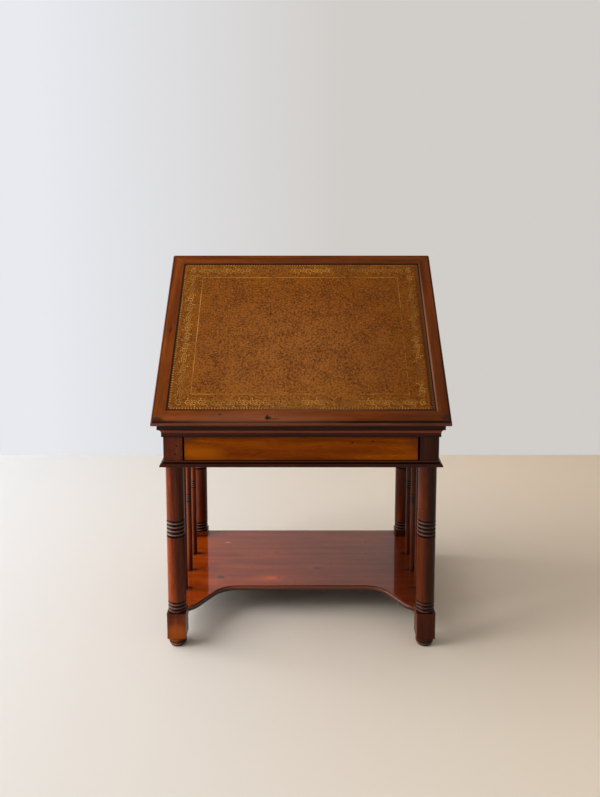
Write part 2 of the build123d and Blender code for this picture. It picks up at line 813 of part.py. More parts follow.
def bracket(side):
    """Wooden bearing block under the panel that holds one pivot pin, top closed."""
    pivot_y = axis_y + prop_length
    half = bracket_length / 2
    x0 = side * (bracket_x - bracket_width / 2)
    x1 = side * (bracket_x + bracket_width / 2)
    low = axis_z - bracket_drop
    shape = block(x0, x1, pivot_y - half, pivot_y + half, low, top_under + ledge_height)
    lower_edges = shape.edges().filter_by(Axis.X).group_by(Axis.Z)[0]
    shape = fillet(lower_edges, bracket_corner_radius)
    over = side * cut_overrun
    shape -= rod(pivot_pin_radius + joint_gap, x0 - over, x1 + over, pivot_y, axis_z)
    for hole in bracket_screws(False, joint_gap):
        shape -= hole
    return shape


def tooth_places():
    """Y of each tooth's middle, with one under the foot bar at rest."""
    reach = 2 * prop_length
    rest_y = axis_y + reach * cos(radians(rest_tilt))
    steep_y = axis_y + reach * cos(radians(max_tilt))
    flat_y = axis_y + reach
    below = int((rest_y - steep_y) / tooth_pitch)
    above = int((flat_y - rest_y) / tooth_pitch)
    return [rest_y + index * tooth_pitch for index in range(-below, above + 1)]


def build_racks():
    """Toothed racks screwed on the bed board, one inside each arm of the prop."""
    teeth = tooth_places()
    start = teeth[0] - tooth_crest / 2 - rack_end_pad
    end = teeth[-1] + tooth_crest / 2 + rack_end_pad
    valley = crest_top - tooth_depth
    points = [(start, bed_top), (start, valley)]
    for y in teeth:
        steep = y - tooth_crest / 2
        points += [(steep, valley), (steep, crest_top), (y + tooth_crest / 2, crest_top)]
    points += [(teeth[-1] + tooth_crest / 2, valley), (end, valley), (end, bed_top)]
    shape = extrude(section(points), rack_width / 2, (1, 0, 0), both=True)
    screw_shape = screw(rack_screw_length)
    screw_space = screw(rack_screw_length, False, joint_gap)
    screws = []
    for side_name, side in SIDES:
        x = side * (prop_x - rack_inset)
        rack = Pos(x, 0, 0) * shape
        for y in (start + rack_end_pad / 2, end - rack_end_pad / 2):
            rack -= Pos(x, y, valley) * screw_space
            parts["bed_board"] -= Pos(x, y, valley) * screw_space
            screws.append(Pos(x, y, valley) * screw_shape)
        parts["prop_rack_" + side_name] = rack
    parts["rack_screws"] = group(screws)


build_legs()
build_rails()
build_mouldings()
build_shelf()
build_bed()
build_drawer_carriage()
build_drawer()
build_top()
build_hinges()
build_prop()
build_racks()

# The lip of the tilted top reaches furthest forward and the cornice furthest back
front_reach = parts["top_rail_front"].bounding_box().min.Y
back_reach = parts["cornice_back"].bounding_box().max.Y
origin_shift = -(front_reach + back_reach) / 2

for node, shape in parts.items():
    export_step(Pos(0, origin_shift, 0) * shape, "parts/" + node + ".step")

print("nodes", len(parts))
print("origin shift along Y", round(origin_shift, 4))
print("hinge axis", round(axis_y + origin_shift, 4), round(axis_z, 4), "prop length", round(prop_length, 4))
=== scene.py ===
# %% [markdown]
# # A tilting reading table, dressed in Blender
#
# The table is a small mahogany one with a leather-lined top that stands open on an
# easel prop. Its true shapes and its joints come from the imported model, which this
# script loads as a fixed frame. Blender adds what a solid can't carry: the polished
# grain of the wood, the antiqued hide with its gilt tooling, the aged metal and the
# marks of use. Everything is in metres, with +Z up and the front towards -Y.

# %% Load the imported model
import json
from math import cos, pi, radians, sin

import bmesh
import bpy
from mathutils import Euler, Matrix, Vector


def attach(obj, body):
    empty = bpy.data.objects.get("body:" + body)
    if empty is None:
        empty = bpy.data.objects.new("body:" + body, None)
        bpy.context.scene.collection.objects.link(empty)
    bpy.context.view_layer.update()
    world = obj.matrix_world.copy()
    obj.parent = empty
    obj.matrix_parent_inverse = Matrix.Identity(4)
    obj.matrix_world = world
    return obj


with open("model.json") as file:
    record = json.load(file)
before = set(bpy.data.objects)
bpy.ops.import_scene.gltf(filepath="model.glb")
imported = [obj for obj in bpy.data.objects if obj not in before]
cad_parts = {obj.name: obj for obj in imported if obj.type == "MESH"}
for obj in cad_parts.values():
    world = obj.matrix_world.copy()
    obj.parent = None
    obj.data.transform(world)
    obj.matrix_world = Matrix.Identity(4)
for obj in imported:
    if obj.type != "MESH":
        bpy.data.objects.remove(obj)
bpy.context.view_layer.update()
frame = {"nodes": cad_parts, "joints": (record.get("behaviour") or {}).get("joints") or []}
nodes = frame["nodes"]

# %% [markdown]
# The top is modelled at its open angle, so anything laid on it needs that angle. The
# frame's joint list has it: the hinge of the top can fall from rest by exactly the
# angle at which it stands. One matrix then takes a point of the closed top, measured
# from the hinge, to its place on the open one.

# %% Find the plane of the open top
tilt_joint = next(joint for joint in frame["joints"] if joint["name"] == "top_tilt")
hinge = Vector(tilt_joint["pos_m"])
rest_tilt = -radians(tilt_joint["range_deg"][0])
open_top = Matrix.Translation(hinge) @ Matrix.Rotation(rest_tilt, 4, "X")


def closed_box(name):
    """Lowest and highest corner of a node, measured with the top closed, from its hinge."""
    to_closed = open_top.inverted()
    corners = [to_closed @ vertex.co for vertex in nodes[name].data.vertices]
    low = Vector([min(values) for values in zip(*corners)])
    high = Vector([max(values) for values in zip(*corners)])
    return low, high


hide_low, hide_high = closed_box("leather_inset")
hide_middle = (hide_low + hide_high) / 2
hide_size = hide_high - hide_low
left_low, left_high = closed_box("top_rail_left")
right_high = closed_box("top_rail_right")[1]
top_middle = (left_low + right_high) / 2
top_size = right_high - left_low
print("top", [round(side, 4) for side in top_size], "leather", [round(side, 4) for side in hide_size], "m")

# %% [markdown]
# The camera stands where the photographer stood: 1.6 m in front of the front legs,
# 1 m above the floor, looking 7 degrees down. The picture was framed lower than the
# lens points, as a tall crop is. A shift of the lens gives that framing and keeps the
# legs nearly upright, which a steeper look down would not.

# %% Set the camera
def place_object(name, data):
    """A new object in the scene."""
    made = bpy.data.objects.new(name, data)
    bpy.context.scene.collection.objects.link(made)
    return made


picture_height = 797
lens_pixels = 800.0
sensor_size = 36.0
aim_point = Vector((301.2, 271.6))
picture_middle = Vector((300.0, 398.5))
look_down = radians(7.09)
camera_place = Vector((0.0, -1.7924, 1.0))

camera_data = bpy.data.cameras.new("camera")
camera_data.sensor_width = sensor_size
camera_data.lens = sensor_size * lens_pixels / picture_height
camera_data.shift_x = (picture_middle.x - aim_point.x) / picture_height
camera_data.shift_y = (aim_point.y - picture_middle.y) / picture_height
camera = place_object("camera", camera_data)
camera.location = camera_place
camera.rotation_euler = (pi / 2 - look_down, 0.0, 0.0)
bpy.context.scene.camera = camera
bpy.context.scene.view_settings.view_transform = "Standard"
print("lens", round(camera_data.lens, 2), "mm, shift", round(camera_data.shift_y, 4))

# %% [markdown]
# Colours are easiest to choose as an eye-dropper reads them, from 0 to 255. Blender
# mixes linear light, so one helper turns the first into the second. The others add
# nodes, because a finish is a chain of small steps, and a line for each step is
# easier to read than a screen of links. Most rest on one, "use", which adds a node,
# feeds its inputs and gives back the output that the next step takes.

# %% Helpers for colours and shader nodes
def paint(red, green, blue):
    """A colour read from 0 to 255, as the linear light that a shader takes."""
    shares = [value / 255 for value in (red, green, blue)]
    linear = [s / 12.92 if s <= 0.04045 else ((s + 0.055) / 1.055) ** 2.4 for s in shares]
    return (*linear, 1.0)


def add(tree, kind, **settings):
    """A new node with its settings."""
    made = tree.nodes.new(kind)
    for name, value in settings.items():
        setattr(made, name, value)
    return made


def feed(tree, socket, value):
    """Link another node's output to a socket, or write a plain value on it."""
    if isinstance(value, bpy.types.NodeSocket):
        tree.links.new(value, socket)
    else:
        socket.default_value = value


def fill(tree, sockets, values):
    """Feed sockets by name or by number."""
    for name, value in values.items():
        feed(tree, sockets[name], value)


def use(tree, kind, output, values, **settings):
    """A new node with its inputs fed, as the one output that is wanted."""
    made = add(tree, kind, **settings)
    fill(tree, made.inputs, values)
    return made.outputs[output]


def maths(tree, operation, *values):
    """One step of arithmetic."""
    return use(tree, "ShaderNodeMath", "Value", dict(enumerate(values)), operation=operation)


def vectors(tree, operation, *values):
    """One step of arithmetic on points."""
    output = "Value" if operation in ("LENGTH", "DOT_PRODUCT") else "Vector"
    return use(tree, "ShaderNodeVectorMath", output, dict(enumerate(values)), operation=operation)


def remap(tree, value, low, high, start=0.0, end=1.0):
    """Stretch low to high over start to end, and hold it there."""
    values = {"Value": value, "From Min": low, "From Max": high, "To Min": start, "To Max": end}
    return use(tree, "ShaderNodeMapRange", "Result", values)


def mix(tree, share, first, second):
    """Mix two colours by a share."""
    return use(tree, "ShaderNodeMix", 2, {0: share, 6: first, 7: second}, data_type="RGBA")


def noise(tree, place, scale, detail=2.0, warp=0.0, grit=0.5):
    """Cloudy noise from 0 to 1, with more of the small scales where grit is high."""
    values = {"Vector": place, "Scale": scale, "Detail": detail, "Distortion": warp, "Roughness": grit}
    return use(tree, "ShaderNodeTexNoise", "Fac", values)


def bump(tree, height, distance, strength, normal):
    """Small relief that only shading shows."""
    values = {"Height": height, "Distance": distance, "Strength": strength, "Normal": normal}
    return use(tree, "ShaderNodeBump", "Normal", values)


def rounded(tree, radius):
    """The direction of a surface whose edges are eased to a radius."""
    return use(tree, "ShaderNodeBevel", "Normal", {"Radius": radius}, samples=4)


def own_place(tree):
    """Where a point of the piece is."""
    return add(tree, "ShaderNodeTexCoord").outputs["Object"]


def split(tree, value):
    """The X, Y and Z of a point or a direction."""
    step = add(tree, "ShaderNodeSeparateXYZ")
    feed(tree, step.inputs[0], value)
    return step.outputs


def looked_at(tree):
    """1 for what the camera sees, straight, mirrored or through glass, and 0 for light."""
    ray = add(tree, "ShaderNodeLightPath").outputs
    seen = maths(tree, "MAXIMUM", ray["Is Camera Ray"], ray["Is Glossy Ray"])
    return maths(tree, "MAXIMUM", seen, ray["Is Transmission Ray"])


def in_from_rim(tree, middle, size):
    """A point from the middle of a rectangle on the closed top, and how far in from its rim."""
    lay = {"Vector": own_place(tree), "Location": open_top @ middle, "Rotation": (rest_tilt, 0.0, 0.0)}
    flat = use(tree, "ShaderNodeMapping", "Vector", lay, vector_type="TEXTURE")
    parts = split(tree, flat)
    to_side = maths(tree, "SUBTRACT", size.x / 2, maths(tree, "ABSOLUTE", parts["X"]))
    to_end = maths(tree, "SUBTRACT", size.y / 2, maths(tree, "ABSOLUTE", parts["Y"]))
    return flat, maths(tree, "MINIMUM", to_side, to_end)


def new_material(name):
    """An empty material, its node tree and its shader."""
    material = bpy.data.materials.new(name)
    material.use_nodes = True
    tree = material.node_tree
    return material, tree, tree.nodes["Principled BSDF"]


# %% [markdown]
# The floor and the wall are pale, so that nothing draws the eye from the
# table. The floor is a matt surface and keeps the shadow. The wall shows its own
# colour to the camera and to the polish, which mirrors it in the shelf. It can be
# looked through from behind, for the views of the back. Both carry painted light
# across their width: the wall is lighter and cooler on the window's side, and the
# floor lighter and warmer to the right, which softens the table's shadow there.

# %% Lay the floor and the wall
wall_distance = 0.956
stage_reach = 6.0
cool_up_to = -0.9
# Painted light: the floor turns lighter and warmer to the right, and the wall lighter and cooler towards the
# window.
floor_cool, floor_warm = paint(223, 220, 217), paint(250, 231, 207)
wall_cool, wall_warm = paint(232, 234, 240), paint(209, 205, 201)
floor_warm_from = 0.7
wall_warm_from = 0.15


def stage_sheet(name, corners, material):
    """A flat sheet of the stage."""
    mesh = bpy.data.meshes.new(name)
    mesh.from_pydata(corners, [], [(0, 1, 2, 3)])
    mesh.materials.append(material)
    sheet = place_object(name, mesh)


def painted_window_light(tree, cool, warm, warm_from):
    """Painted window light: cooler on the window's side, warmer from a place to its right."""
    across = split(tree, own_place(tree))["X"]
    return mix(tree, remap(tree, across, cool_up_to, warm_from), cool, warm)


def floor_finish():
    """Matt pale floor."""
    material, tree, shader = new_material("pale_floor")
    colour = painted_window_light(tree, floor_cool, floor_warm, floor_warm_from)
    fill(tree, shader.inputs, {"Base Color": colour, "Roughness": 1.0, "Specular IOR Level": 0.0})
    return material


def wall_finish():
    """Pale wall that shows its colour as written."""
    material, tree, shader = new_material("pale_wall")
    colour = painted_window_light(tree, wall_cool, wall_warm, wall_warm_from)
    fill(tree, shader.inputs, {"Base Color": colour, "Roughness": 1.0})
    glow = use(tree, "ShaderNodeEmission", 0, {"Color": colour})
    front = use(tree, "ShaderNodeMixShader", 0, {0: looked_at(tree), 1: shader.outputs[0], 2: glow})
    behind = add(tree, "ShaderNodeNewGeometry").outputs["Backfacing"]
    clear = add(tree, "ShaderNodeBsdfTransparent").outputs[0]
    both = use(tree, "ShaderNodeMixShader", 0, {0: behind, 1: front, 2: clear})
    feed(tree, tree.nodes["Material Output"].inputs["Surface"], both)
    return material


corners = ((-1, -1), (1, -1), (1, 1), (-1, 1))
floor_corners = [(x * stage_reach, y * stage_reach, 0) for x, y in corners]
wall_corners = [(x * stage_reach, wall_distance, (y + 1) / 2 * stage_reach) for x, y in corners]
stage_sheet("floor", floor_corners, floor_finish())
stage_sheet("wall", wall_corners, wall_finish())
print("wall stands", wall_distance, "m behind the table's middle")

# %% [markdown]
# The room is lit by a wide window on the left, so the key light is a large soft
# panel there, a little in front of the table and above it. The world fills the
# shade, most from the window's side and from the ceiling, because pale surfaces pass
# on the light that reaches them. Both are kept at a plain level, at which a colour
# renders about as it is written, so the materials still look right under other lamps.

# %% Light the table
key_place = Vector((-3.00, -0.25, 2.09))
key_target = Vector((0.0, 0.0, 0.40))
key_size = 3.0
key_watts = 139.0
key_colour = (0.94, 0.97, 1.0)
fill_by_window = 0.44
fill_far_side = 0.02
fill_overhead = 0.55
fill_colour = (1.0, 0.98, 0.95, 1.0)
room_colour = paint(216, 212, 206)

key_data = bpy.data.lights.new("window", "AREA")
key_data.shape = "SQUARE"
key_data.size = key_size
key_data.energy = key_watts
key_data.color = key_colour
key = place_object("window", key_data)
key.location = key_place
key.rotation_euler = (key_target - key_place).to_track_quat("-Z", "Y").to_euler()

world = bpy.data.worlds.new("room")
world.use_nodes = True
sky = world.node_tree
background = sky.nodes["Background"]
seen = looked_at(sky)
toward = split(sky, add(sky, "ShaderNodeTexCoord").outputs["Generated"])
low_fill = remap(sky, toward["X"], -1.0, 0.4, fill_by_window, fill_far_side)
overhead = remap(sky, toward["Z"], 0.3, 1.0, 0.0, fill_overhead)
fill_light = maths(sky, "ADD", low_fill, overhead)
fill(sky, background.inputs, {"Color": mix(sky, seen, fill_colour, room_colour),
                              "Strength": maths(sky, "MAXIMUM", fill_light, seen)})
bpy.context.scene.world = world
print("key", key_watts, "W, fill", fill_by_window, "to", fill_far_side, "and", fill_overhead, "overhead")

# %% [markdown]
# Every wooden piece has its grain along its length, and that is what tells the eye
# that a frame is joined from several pieces. A wood texture could be unwrapped onto
# each piece, but here the pattern is a solid one, read from where a point is. A turned
# leg then shows the same streaks as one cut from a real square, and a mitre shows
# because the grain turns there. Each grain below is a frame whose X axis runs along
# the wood.

# %% Name the directions of the grain
quarter = Matrix.Rotation(pi / 2, 3, "Z")
grains = {
    "across": Matrix.Identity(3),
    "deep": quarter,
    "upright": Matrix.Rotation(-pi / 2, 3, "Y"),
    "top_across": Matrix.Rotation(rest_tilt, 3, "X"),
    "top_deep": Matrix.Rotation(rest_tilt, 3, "X") @ quarter,
    "prop_deep": Matrix.Rotation(-rest_tilt, 3, "X") @ quarter,
}
print("grains", ", ".join(grains))

# %% [markdown]
# Mahogany under old french polish is a stack of small things. Broad ribbons of light
# and dark run with the grain. Fine growth lines follow the same ribbons. Short dark
# pores lie in the surface. The corners darken, partly with wax and dirt and partly
# with painted shade. The edges are paler, rubbed and with a painted highlight, and the
# film of polish over all of it is smooth. Painted shade darkens the faces turned from
# the window and the wood towards the right. Each is one step here, and a look gives
# the colours and the amounts, so one function can make a pale drawer side and a dark
# leg. Some places are known: bands at the heights of grooves darken with wax and
# painted shade, the crests between them carry a painted highlight, most where they
# face the window, and lines of painted shade and highlight follow the rim of the top.

# %% Write the wood finish
pore_depth = 0.00012
edge_ease = 0.0007
crevice_reach = 0.006
# The near-black is wax and painted shade; the deep brown below it is painted shade and darker stain.
wax_and_shade_colour = paint(20, 6, 3)
shade_and_stain_colour = paint(34, 9, 2)
table_half = 0.29
line_soft = 0.0004
lip_shade_share = 0.75
broad = (0.9, 13.0, 13.0)
fine = (7.0, 150.0, 150.0)
finest = (22.0, 520.0, 520.0)


def spot(tree, place, centre, size):
    """1 in the middle of an oval mark, falling to 0 at its rim."""
    scaled = vectors(tree, "DIVIDE", vectors(tree, "SUBTRACT", place, centre), size)
    return remap(tree, vectors(tree, "LENGTH", scaled), 0.4, 1.0, 1.0, 0.0)


def mixed_over(tree, colour, overlay, share, shape):
    """A colour under a share of another colour, where a shape is: stains and wear, and also painted shade and
    painted highlights.
    """
    return mix(tree, maths(tree, "MULTIPLY", shape, share), colour, overlay)


def outer_edges(tree, eased):
    """1 along an outer edge, where the eased normal leaves the true one."""
    true = add(tree, "ShaderNodeNewGeometry").outputs["Normal"]
    return remap(tree, vectors(tree, "DOT_PRODUCT", eased, true), 0.995, 0.9, 0.0, 1.0)


def band(tree, value, low, high, soft):
    """1 between two numbers, with soft ends."""
    rise = remap(tree, value, low - soft, low + soft)
    fall = remap(tree, value, high - soft, high + soft, 1.0, 0.0)
    return maths(tree, "MULTIPLY", rise, fall)


def lip_underside_shade(tree, flat, inside):
    """The share of painted shade on the lower half of the top's outer edge."""
    low = remap(tree, split(tree, flat)["Z"], -top_size.z / 4, 0.0, lip_shade_share, 0.0)
    return maths(tree, "MULTIPLY", low, remap(tree, inside, 0.0005, 0.0020, 1.0, 0.0))


def wood(name, grain, look, marks=(), bands=(), crests=(), rim_lines=()):
    """Polished wood in one look, with marks at places, bands and crests at heights, and rim lines."""
    material, tree, shader = new_material(name)
    place = own_place(tree)
    turn = {"Vector": place, "Rotation": grains[grain].to_euler()}
    along = use(tree, "ShaderNodeMapping", "Vector", turn, vector_type="TEXTURE")

    ribbon = noise(tree, vectors(tree, "MULTIPLY", along, broad), 5.0, 3.0, 0.35)
    rings = maths(tree, "SINE", maths(tree, "MULTIPLY", ribbon, look["rings"]))
    fibre = noise(tree, vectors(tree, "MULTIPLY", along, fine), 5.0, 3.0)
    pore = remap(tree, noise(tree, vectors(tree, "MULTIPLY", along, finest), 3.0, 1.0), 0.60, 0.72)
    cloud = noise(tree, place, 9.0, 3.0)

    spread = look["figure"] / 2
    figure = remap(tree, ribbon, 0.34, 0.66, 0.5 - spread, 0.5 + spread)
    colour = mix(tree, figure, look["dark"], look["light"])
    colour = mix(tree, remap(tree, rings, 0.2, 1.0, 0.0, look["ring_share"]), colour, look["dark"])
    colour = mix(tree, remap(tree, fibre, 0.45, 0.75, 0.0, look["fibre_share"]), colour, look["dark"])
    colour = mix(tree, remap(tree, pore, 0.0, 1.0, 0.0, look["pore_share"]), colour, wax_and_shade_colour)
    colour = mix(tree, remap(tree, cloud, 0.5, 0.8, 0.0, 0.4), colour, look["dark"])

    # The outer edges are paler: rubbed, and with a painted highlight.
    eased = rounded(tree, edge_ease)
    painted_highlight_and_wear = maths(tree, "MULTIPLY", outer_edges(tree, eased), remap(tree, cloud, 0.35, 0.6, 0.2, 1.0))
    colour = mixed_over(tree, colour, look["edge"], look["edge_share"], painted_highlight_and_wear)
    # Corners and crevices darken: wax and dirt, and painted shade where little light reaches.
    air = use(tree, "ShaderNodeAmbientOcclusion", "AO", {"Distance": crevice_reach}, samples=6)
    colour = mix(tree, remap(tree, air, 0.35, 0.95, look["wax_and_shade_share"], 0.0), colour, wax_and_shade_colour)
    # Painted shade: the wood darkens towards the right, away from the window, and on faces turned from it.
    parts = split(tree, place)
    painted_falloff = remap(tree, parts["X"], -table_half, table_half, 0.0, look["falloff_shade"])
    colour = mix(tree, painted_falloff, colour, shade_and_stain_colour)
    facing = split(tree, add(tree, "ShaderNodeNewGeometry").outputs["Normal"])
    painted_side_shade = remap(tree, facing["X"], look["shade_from"], 0.35, 0.0, look["shade_side"])
    colour = mix(tree, painted_side_shade, colour, shade_and_stain_colour)
    # Bands at given heights: wax and painted shade, and painted highlights on the cornice and the base
    # moulding.
    for low, high, soft, overlay, share in bands:
        colour = mixed_over(tree, colour, overlay, share, band(tree, parts["Z"], low, high, soft))
    # Crests carry a painted highlight, strongest where they face the window and near it.
    for low, high, soft, overlay, share in crests:
        painted_highlight_and_wear = remap(tree, facing["X"], -0.9, 0.6, share, share / 4)
        near_window = remap(tree, parts["X"], -table_half, table_half, 1.0, 0.4)
        painted_highlight_and_wear = maths(tree, "MULTIPLY", painted_highlight_and_wear, near_window)
        colour = mixed_over(tree, colour, overlay, painted_highlight_and_wear, band(tree, parts["Z"], low, high, soft))
    # Painted shade on the lower half of the top's outer edge.
    if rim_lines:
        flat, inside = in_from_rim(tree, top_middle, top_size)
        colour = mix(tree, lip_underside_shade(tree, flat, inside), colour, wax_and_shade_colour)
    # Painted highlight and painted shade lines along the rim of the top.
    for low, high, overlay, share in rim_lines:
        colour = mixed_over(tree, colour, overlay, share, band(tree, inside, low, high, line_soft))
    for centre, size, overlay, share in marks:
        colour = mixed_over(tree, colour, overlay, share, spot(tree, place, centre, size))

    relief = maths(tree, "SUBTRACT", maths(tree, "MULTIPLY", fibre, 0.4), pore)
    fill(tree, shader.inputs, {
        "Base Color": colour,
        "Normal": bump(tree, relief, pore_depth, look["relief"], eased),
        "Roughness": remap(tree, cloud, 0.3, 0.7, look["rough"] - 0.06, look["rough"] + 0.08),
        "Specular IOR Level": look["sheen"],
        "Coat Weight": look["polish"],
        "Coat Roughness": look["polish_rough"],
        "Coat Normal": eased,
    })
    return material


# %% [markdown]
# The table is one wood seen in several states. The legs and rails are the darkest,
# stained to a red brown. The frame of the top has faded a little to orange. The
# drawer front was cut from paler, golden wood. The shelf glows orange under a
# thick, glossy polish. The linings that nobody sees are bare.

# %% Describe each state of the wood
plain_wood = {
    "rings": 55.0,
    "ring_share": 0.25,
    "fibre_share": 0.5,
    "pore_share": 0.6,
    "edge_share": 0.45,
    "wax_and_shade_share": 0.95,
    "relief": 0.35,
    "rough": 0.34,
    "sheen": 0.05,
    "polish": 0.2,
    "polish_rough": 0.1,
    "figure": 1.0,
    "falloff_shade": 0.3,
    "shade_side": 0.0,
    "shade_from": -0.9,
}
looks = {
    "turned": dict(plain_wood, dark=paint(106, 38, 9), light=paint(196, 86, 30), edge=paint(190, 110, 70),
                   edge_share=0.6, falloff_shade=0.62, shade_side=0.78),
    "frame": dict(plain_wood, dark=paint(84, 32, 8), light=paint(140, 60, 18), edge=paint(176, 100, 62)),
    "moulding": dict(plain_wood, dark=paint(58, 20, 8), light=paint(96, 38, 14), edge=paint(170, 98, 66),
                     falloff_shade=0.35),
    "top": dict(plain_wood, dark=paint(114, 50, 6), light=paint(164, 80, 14), edge=paint(200, 146, 110),
                sheen=0.03, polish=0.13, edge_share=0.6, falloff_shade=0.42),
    "golden": dict(plain_wood, dark=paint(130, 55, 0), light=paint(187, 93, 0), edge=paint(150, 84, 30),
                   rings=110.0, ring_share=0.45, fibre_share=0.65, wax_and_shade_share=0.8, sheen=0.03, polish=0.03,
                   falloff_shade=0.15),
    "shelf": dict(plain_wood, dark=paint(118, 40, 0), light=paint(190, 74, 0), edge=paint(186, 104, 60),
                  rough=0.3, sheen=0.03, polish=0.85, polish_rough=0.045, relief=0.12, pore_share=0.3,
                  ring_share=0.2, figure=0.5, falloff_shade=0.42, shade_side=0.8, shade_from=0.15),
    "lining": dict(plain_wood, dark=paint(150, 108, 68), light=paint(188, 148, 100),
                   edge=paint(200, 168, 126), polish=0.0, rough=0.6, relief=0.8, wax_and_shade_share=0.5, falloff_shade=0.0),
}
print("looks", ", ".join(looks))

# %% [markdown]
# Old furniture carries marks in fixed places: nail holes in a corner block, a knot in
# the front of the top, a scratch on the shelf. Each is an oval with a centre, half its
# width each way, a colour and a share, mixed into the wood under it. Besides the
# stains, some marks are painted shade and painted highlight.

# %% Place the marks of use
hole_colour = paint(14, 6, 4)
knot_colour = paint(40, 18, 10)
smudge_colour = paint(52, 30, 26)
scratch_and_highlight_pale = paint(205, 150, 120)
orange_stain_and_light = paint(176, 84, 12)
# Nail holes and smudges on the left corner and foot blocks, an orange patch low on the left foot block and a
# darker band along its top. The darker patches on the right corner block and high on the right front leg are
# painted shade, and the paler patch on that leg's left half is painted light.
frame_marks = [
    ((-0.2560, -0.2082, 0.4423), (0.0030, 0.004, 0.0030), hole_colour, 1.0),
    ((-0.2586, -0.2082, 0.4246), (0.0028, 0.004, 0.0028), hole_colour, 1.0),
    ((-0.2700, -0.2082, 0.4330), (0.0022, 0.004, 0.0100), smudge_colour, 0.4),
    ((-0.2650, -0.2082, 0.0330), (0.0300, 0.030, 0.0240), orange_stain_and_light, 0.75),
    ((-0.2635, -0.2082, 0.0740), (0.0300, 0.030, 0.0130), hole_colour, 0.45),
    ((-0.2825, -0.2082, 0.0600), (0.0016, 0.004, 0.0022), hole_colour, 1.0),
    ((-0.2825, -0.2082, 0.0480), (0.0014, 0.004, 0.0030), hole_colour, 0.8),
    ((0.2635, -0.2082, 0.4370), (0.0400, 0.030, 0.0500), shade_and_stain_colour, 0.35),
    ((0.2720, -0.2082, 0.3600), (0.0240, 0.030, 0.1600), shade_and_stain_colour, 0.55),
    ((0.2510, -0.2082, 0.1600), (0.0120, 0.030, 0.1100), orange_stain_and_light, 0.12),
]
drawer_ochre = paint(206, 108, 0)
drawer_marks = [
    ((0.1050, -0.2072, 0.4487), (0.0028, 0.004, 0.0024), hole_colour, 1.0),
    ((0.1468, -0.2072, 0.4521), (0.0028, 0.004, 0.0024), hole_colour, 1.0),
    ((-0.2050, -0.2072, 0.4270), (0.0600, 0.030, 0.0200), drawer_ochre, 0.5),
    ((-0.2400, -0.2072, 0.4600), (0.0420, 0.030, 0.0160), smudge_colour, 0.5),
    ((0.2420, -0.2072, 0.4560), (0.0360, 0.030, 0.0300), smudge_colour, 0.4),
    ((-0.2430, -0.2072, 0.4330), (0.0050, 0.030, 0.0400), knot_colour, 0.5),
    ((0.2430, -0.2072, 0.4330), (0.0060, 0.030, 0.0400), knot_colour, 0.6),
]
rail_highlight_and_halo = paint(158, 98, 66)


def on_top(across, back, size, overlay, share):
    """A mark on the face of the top, so far across and so far back from the hinge."""
    return open_top @ Vector((across, back, left_high.z)), size, overlay, share


# On the frame of the top: the paler patch on the left of the front rail and the pale line along its inner
# edge are painted highlight. The rest are a knot with its halo and streaks, smudges at the front corners, an
# orange patch on the right rail, and darker patches at the right end of the front rail, on the left rail and
# along the back rail.
top_marks = [
    on_top(-0.1000, 0.0040, (0.2200, 0.020, 0.020), rail_highlight_and_halo, 0.4),
    on_top(0.2500, 0.0060, (0.1000, 0.022, 0.022), knot_colour, 0.35),
    on_top(-0.2880, 0.0900, (0.0240, 0.110, 0.110), shade_and_stain_colour, 0.3),
    on_top(0.2880, 0.2600, (0.0240, 0.110, 0.110), orange_stain_and_light, 0.12),
    on_top(-0.0675, 0.0070, (0.0230, 0.009, 0.009), rail_highlight_and_halo, 0.15),
    on_top(-0.0675, 0.0070, (0.0090, 0.005, 0.005), knot_colour, 0.95),
    on_top(-0.0690, 0.0080, (0.0035, 0.009, 0.009), knot_colour, 0.9),
    on_top(-0.0560, 0.0045, (0.0170, 0.002, 0.002), knot_colour, 0.7),
    on_top(-0.1650, 0.0150, (0.0050, 0.003, 0.003), knot_colour, 0.6),
    on_top(-0.2914, 0.0020, (0.0170, 0.009, 0.009), smudge_colour, 0.85),
    on_top(0.2945, 0.0047, (0.0140, 0.012, 0.012), smudge_colour, 0.7),
    on_top(-0.2876, 0.2285, (0.0050, 0.012, 0.012), knot_colour, 0.5),
    on_top(0.0000, 0.4400, (0.4500, 0.030, 0.030), shade_and_stain_colour, 0.15),
    on_top(0.0000, hide_low.y - 0.0010, (0.2700, 0.004, 0.004), rail_highlight_and_halo, 0.35),
]
# Painted highlight: a pale line along the right rail's inner edge, where the window's light catches it.
arris_x = hide_size.x / 2 + 0.0044
lit_arris = on_top(arris_x, 0.1800, (0.0024, 0.330, 0.330), scratch_and_highlight_pale, 0.4)
shelf_glow = paint(206, 84, 20)
shelf_halo = paint(160, 66, 30)
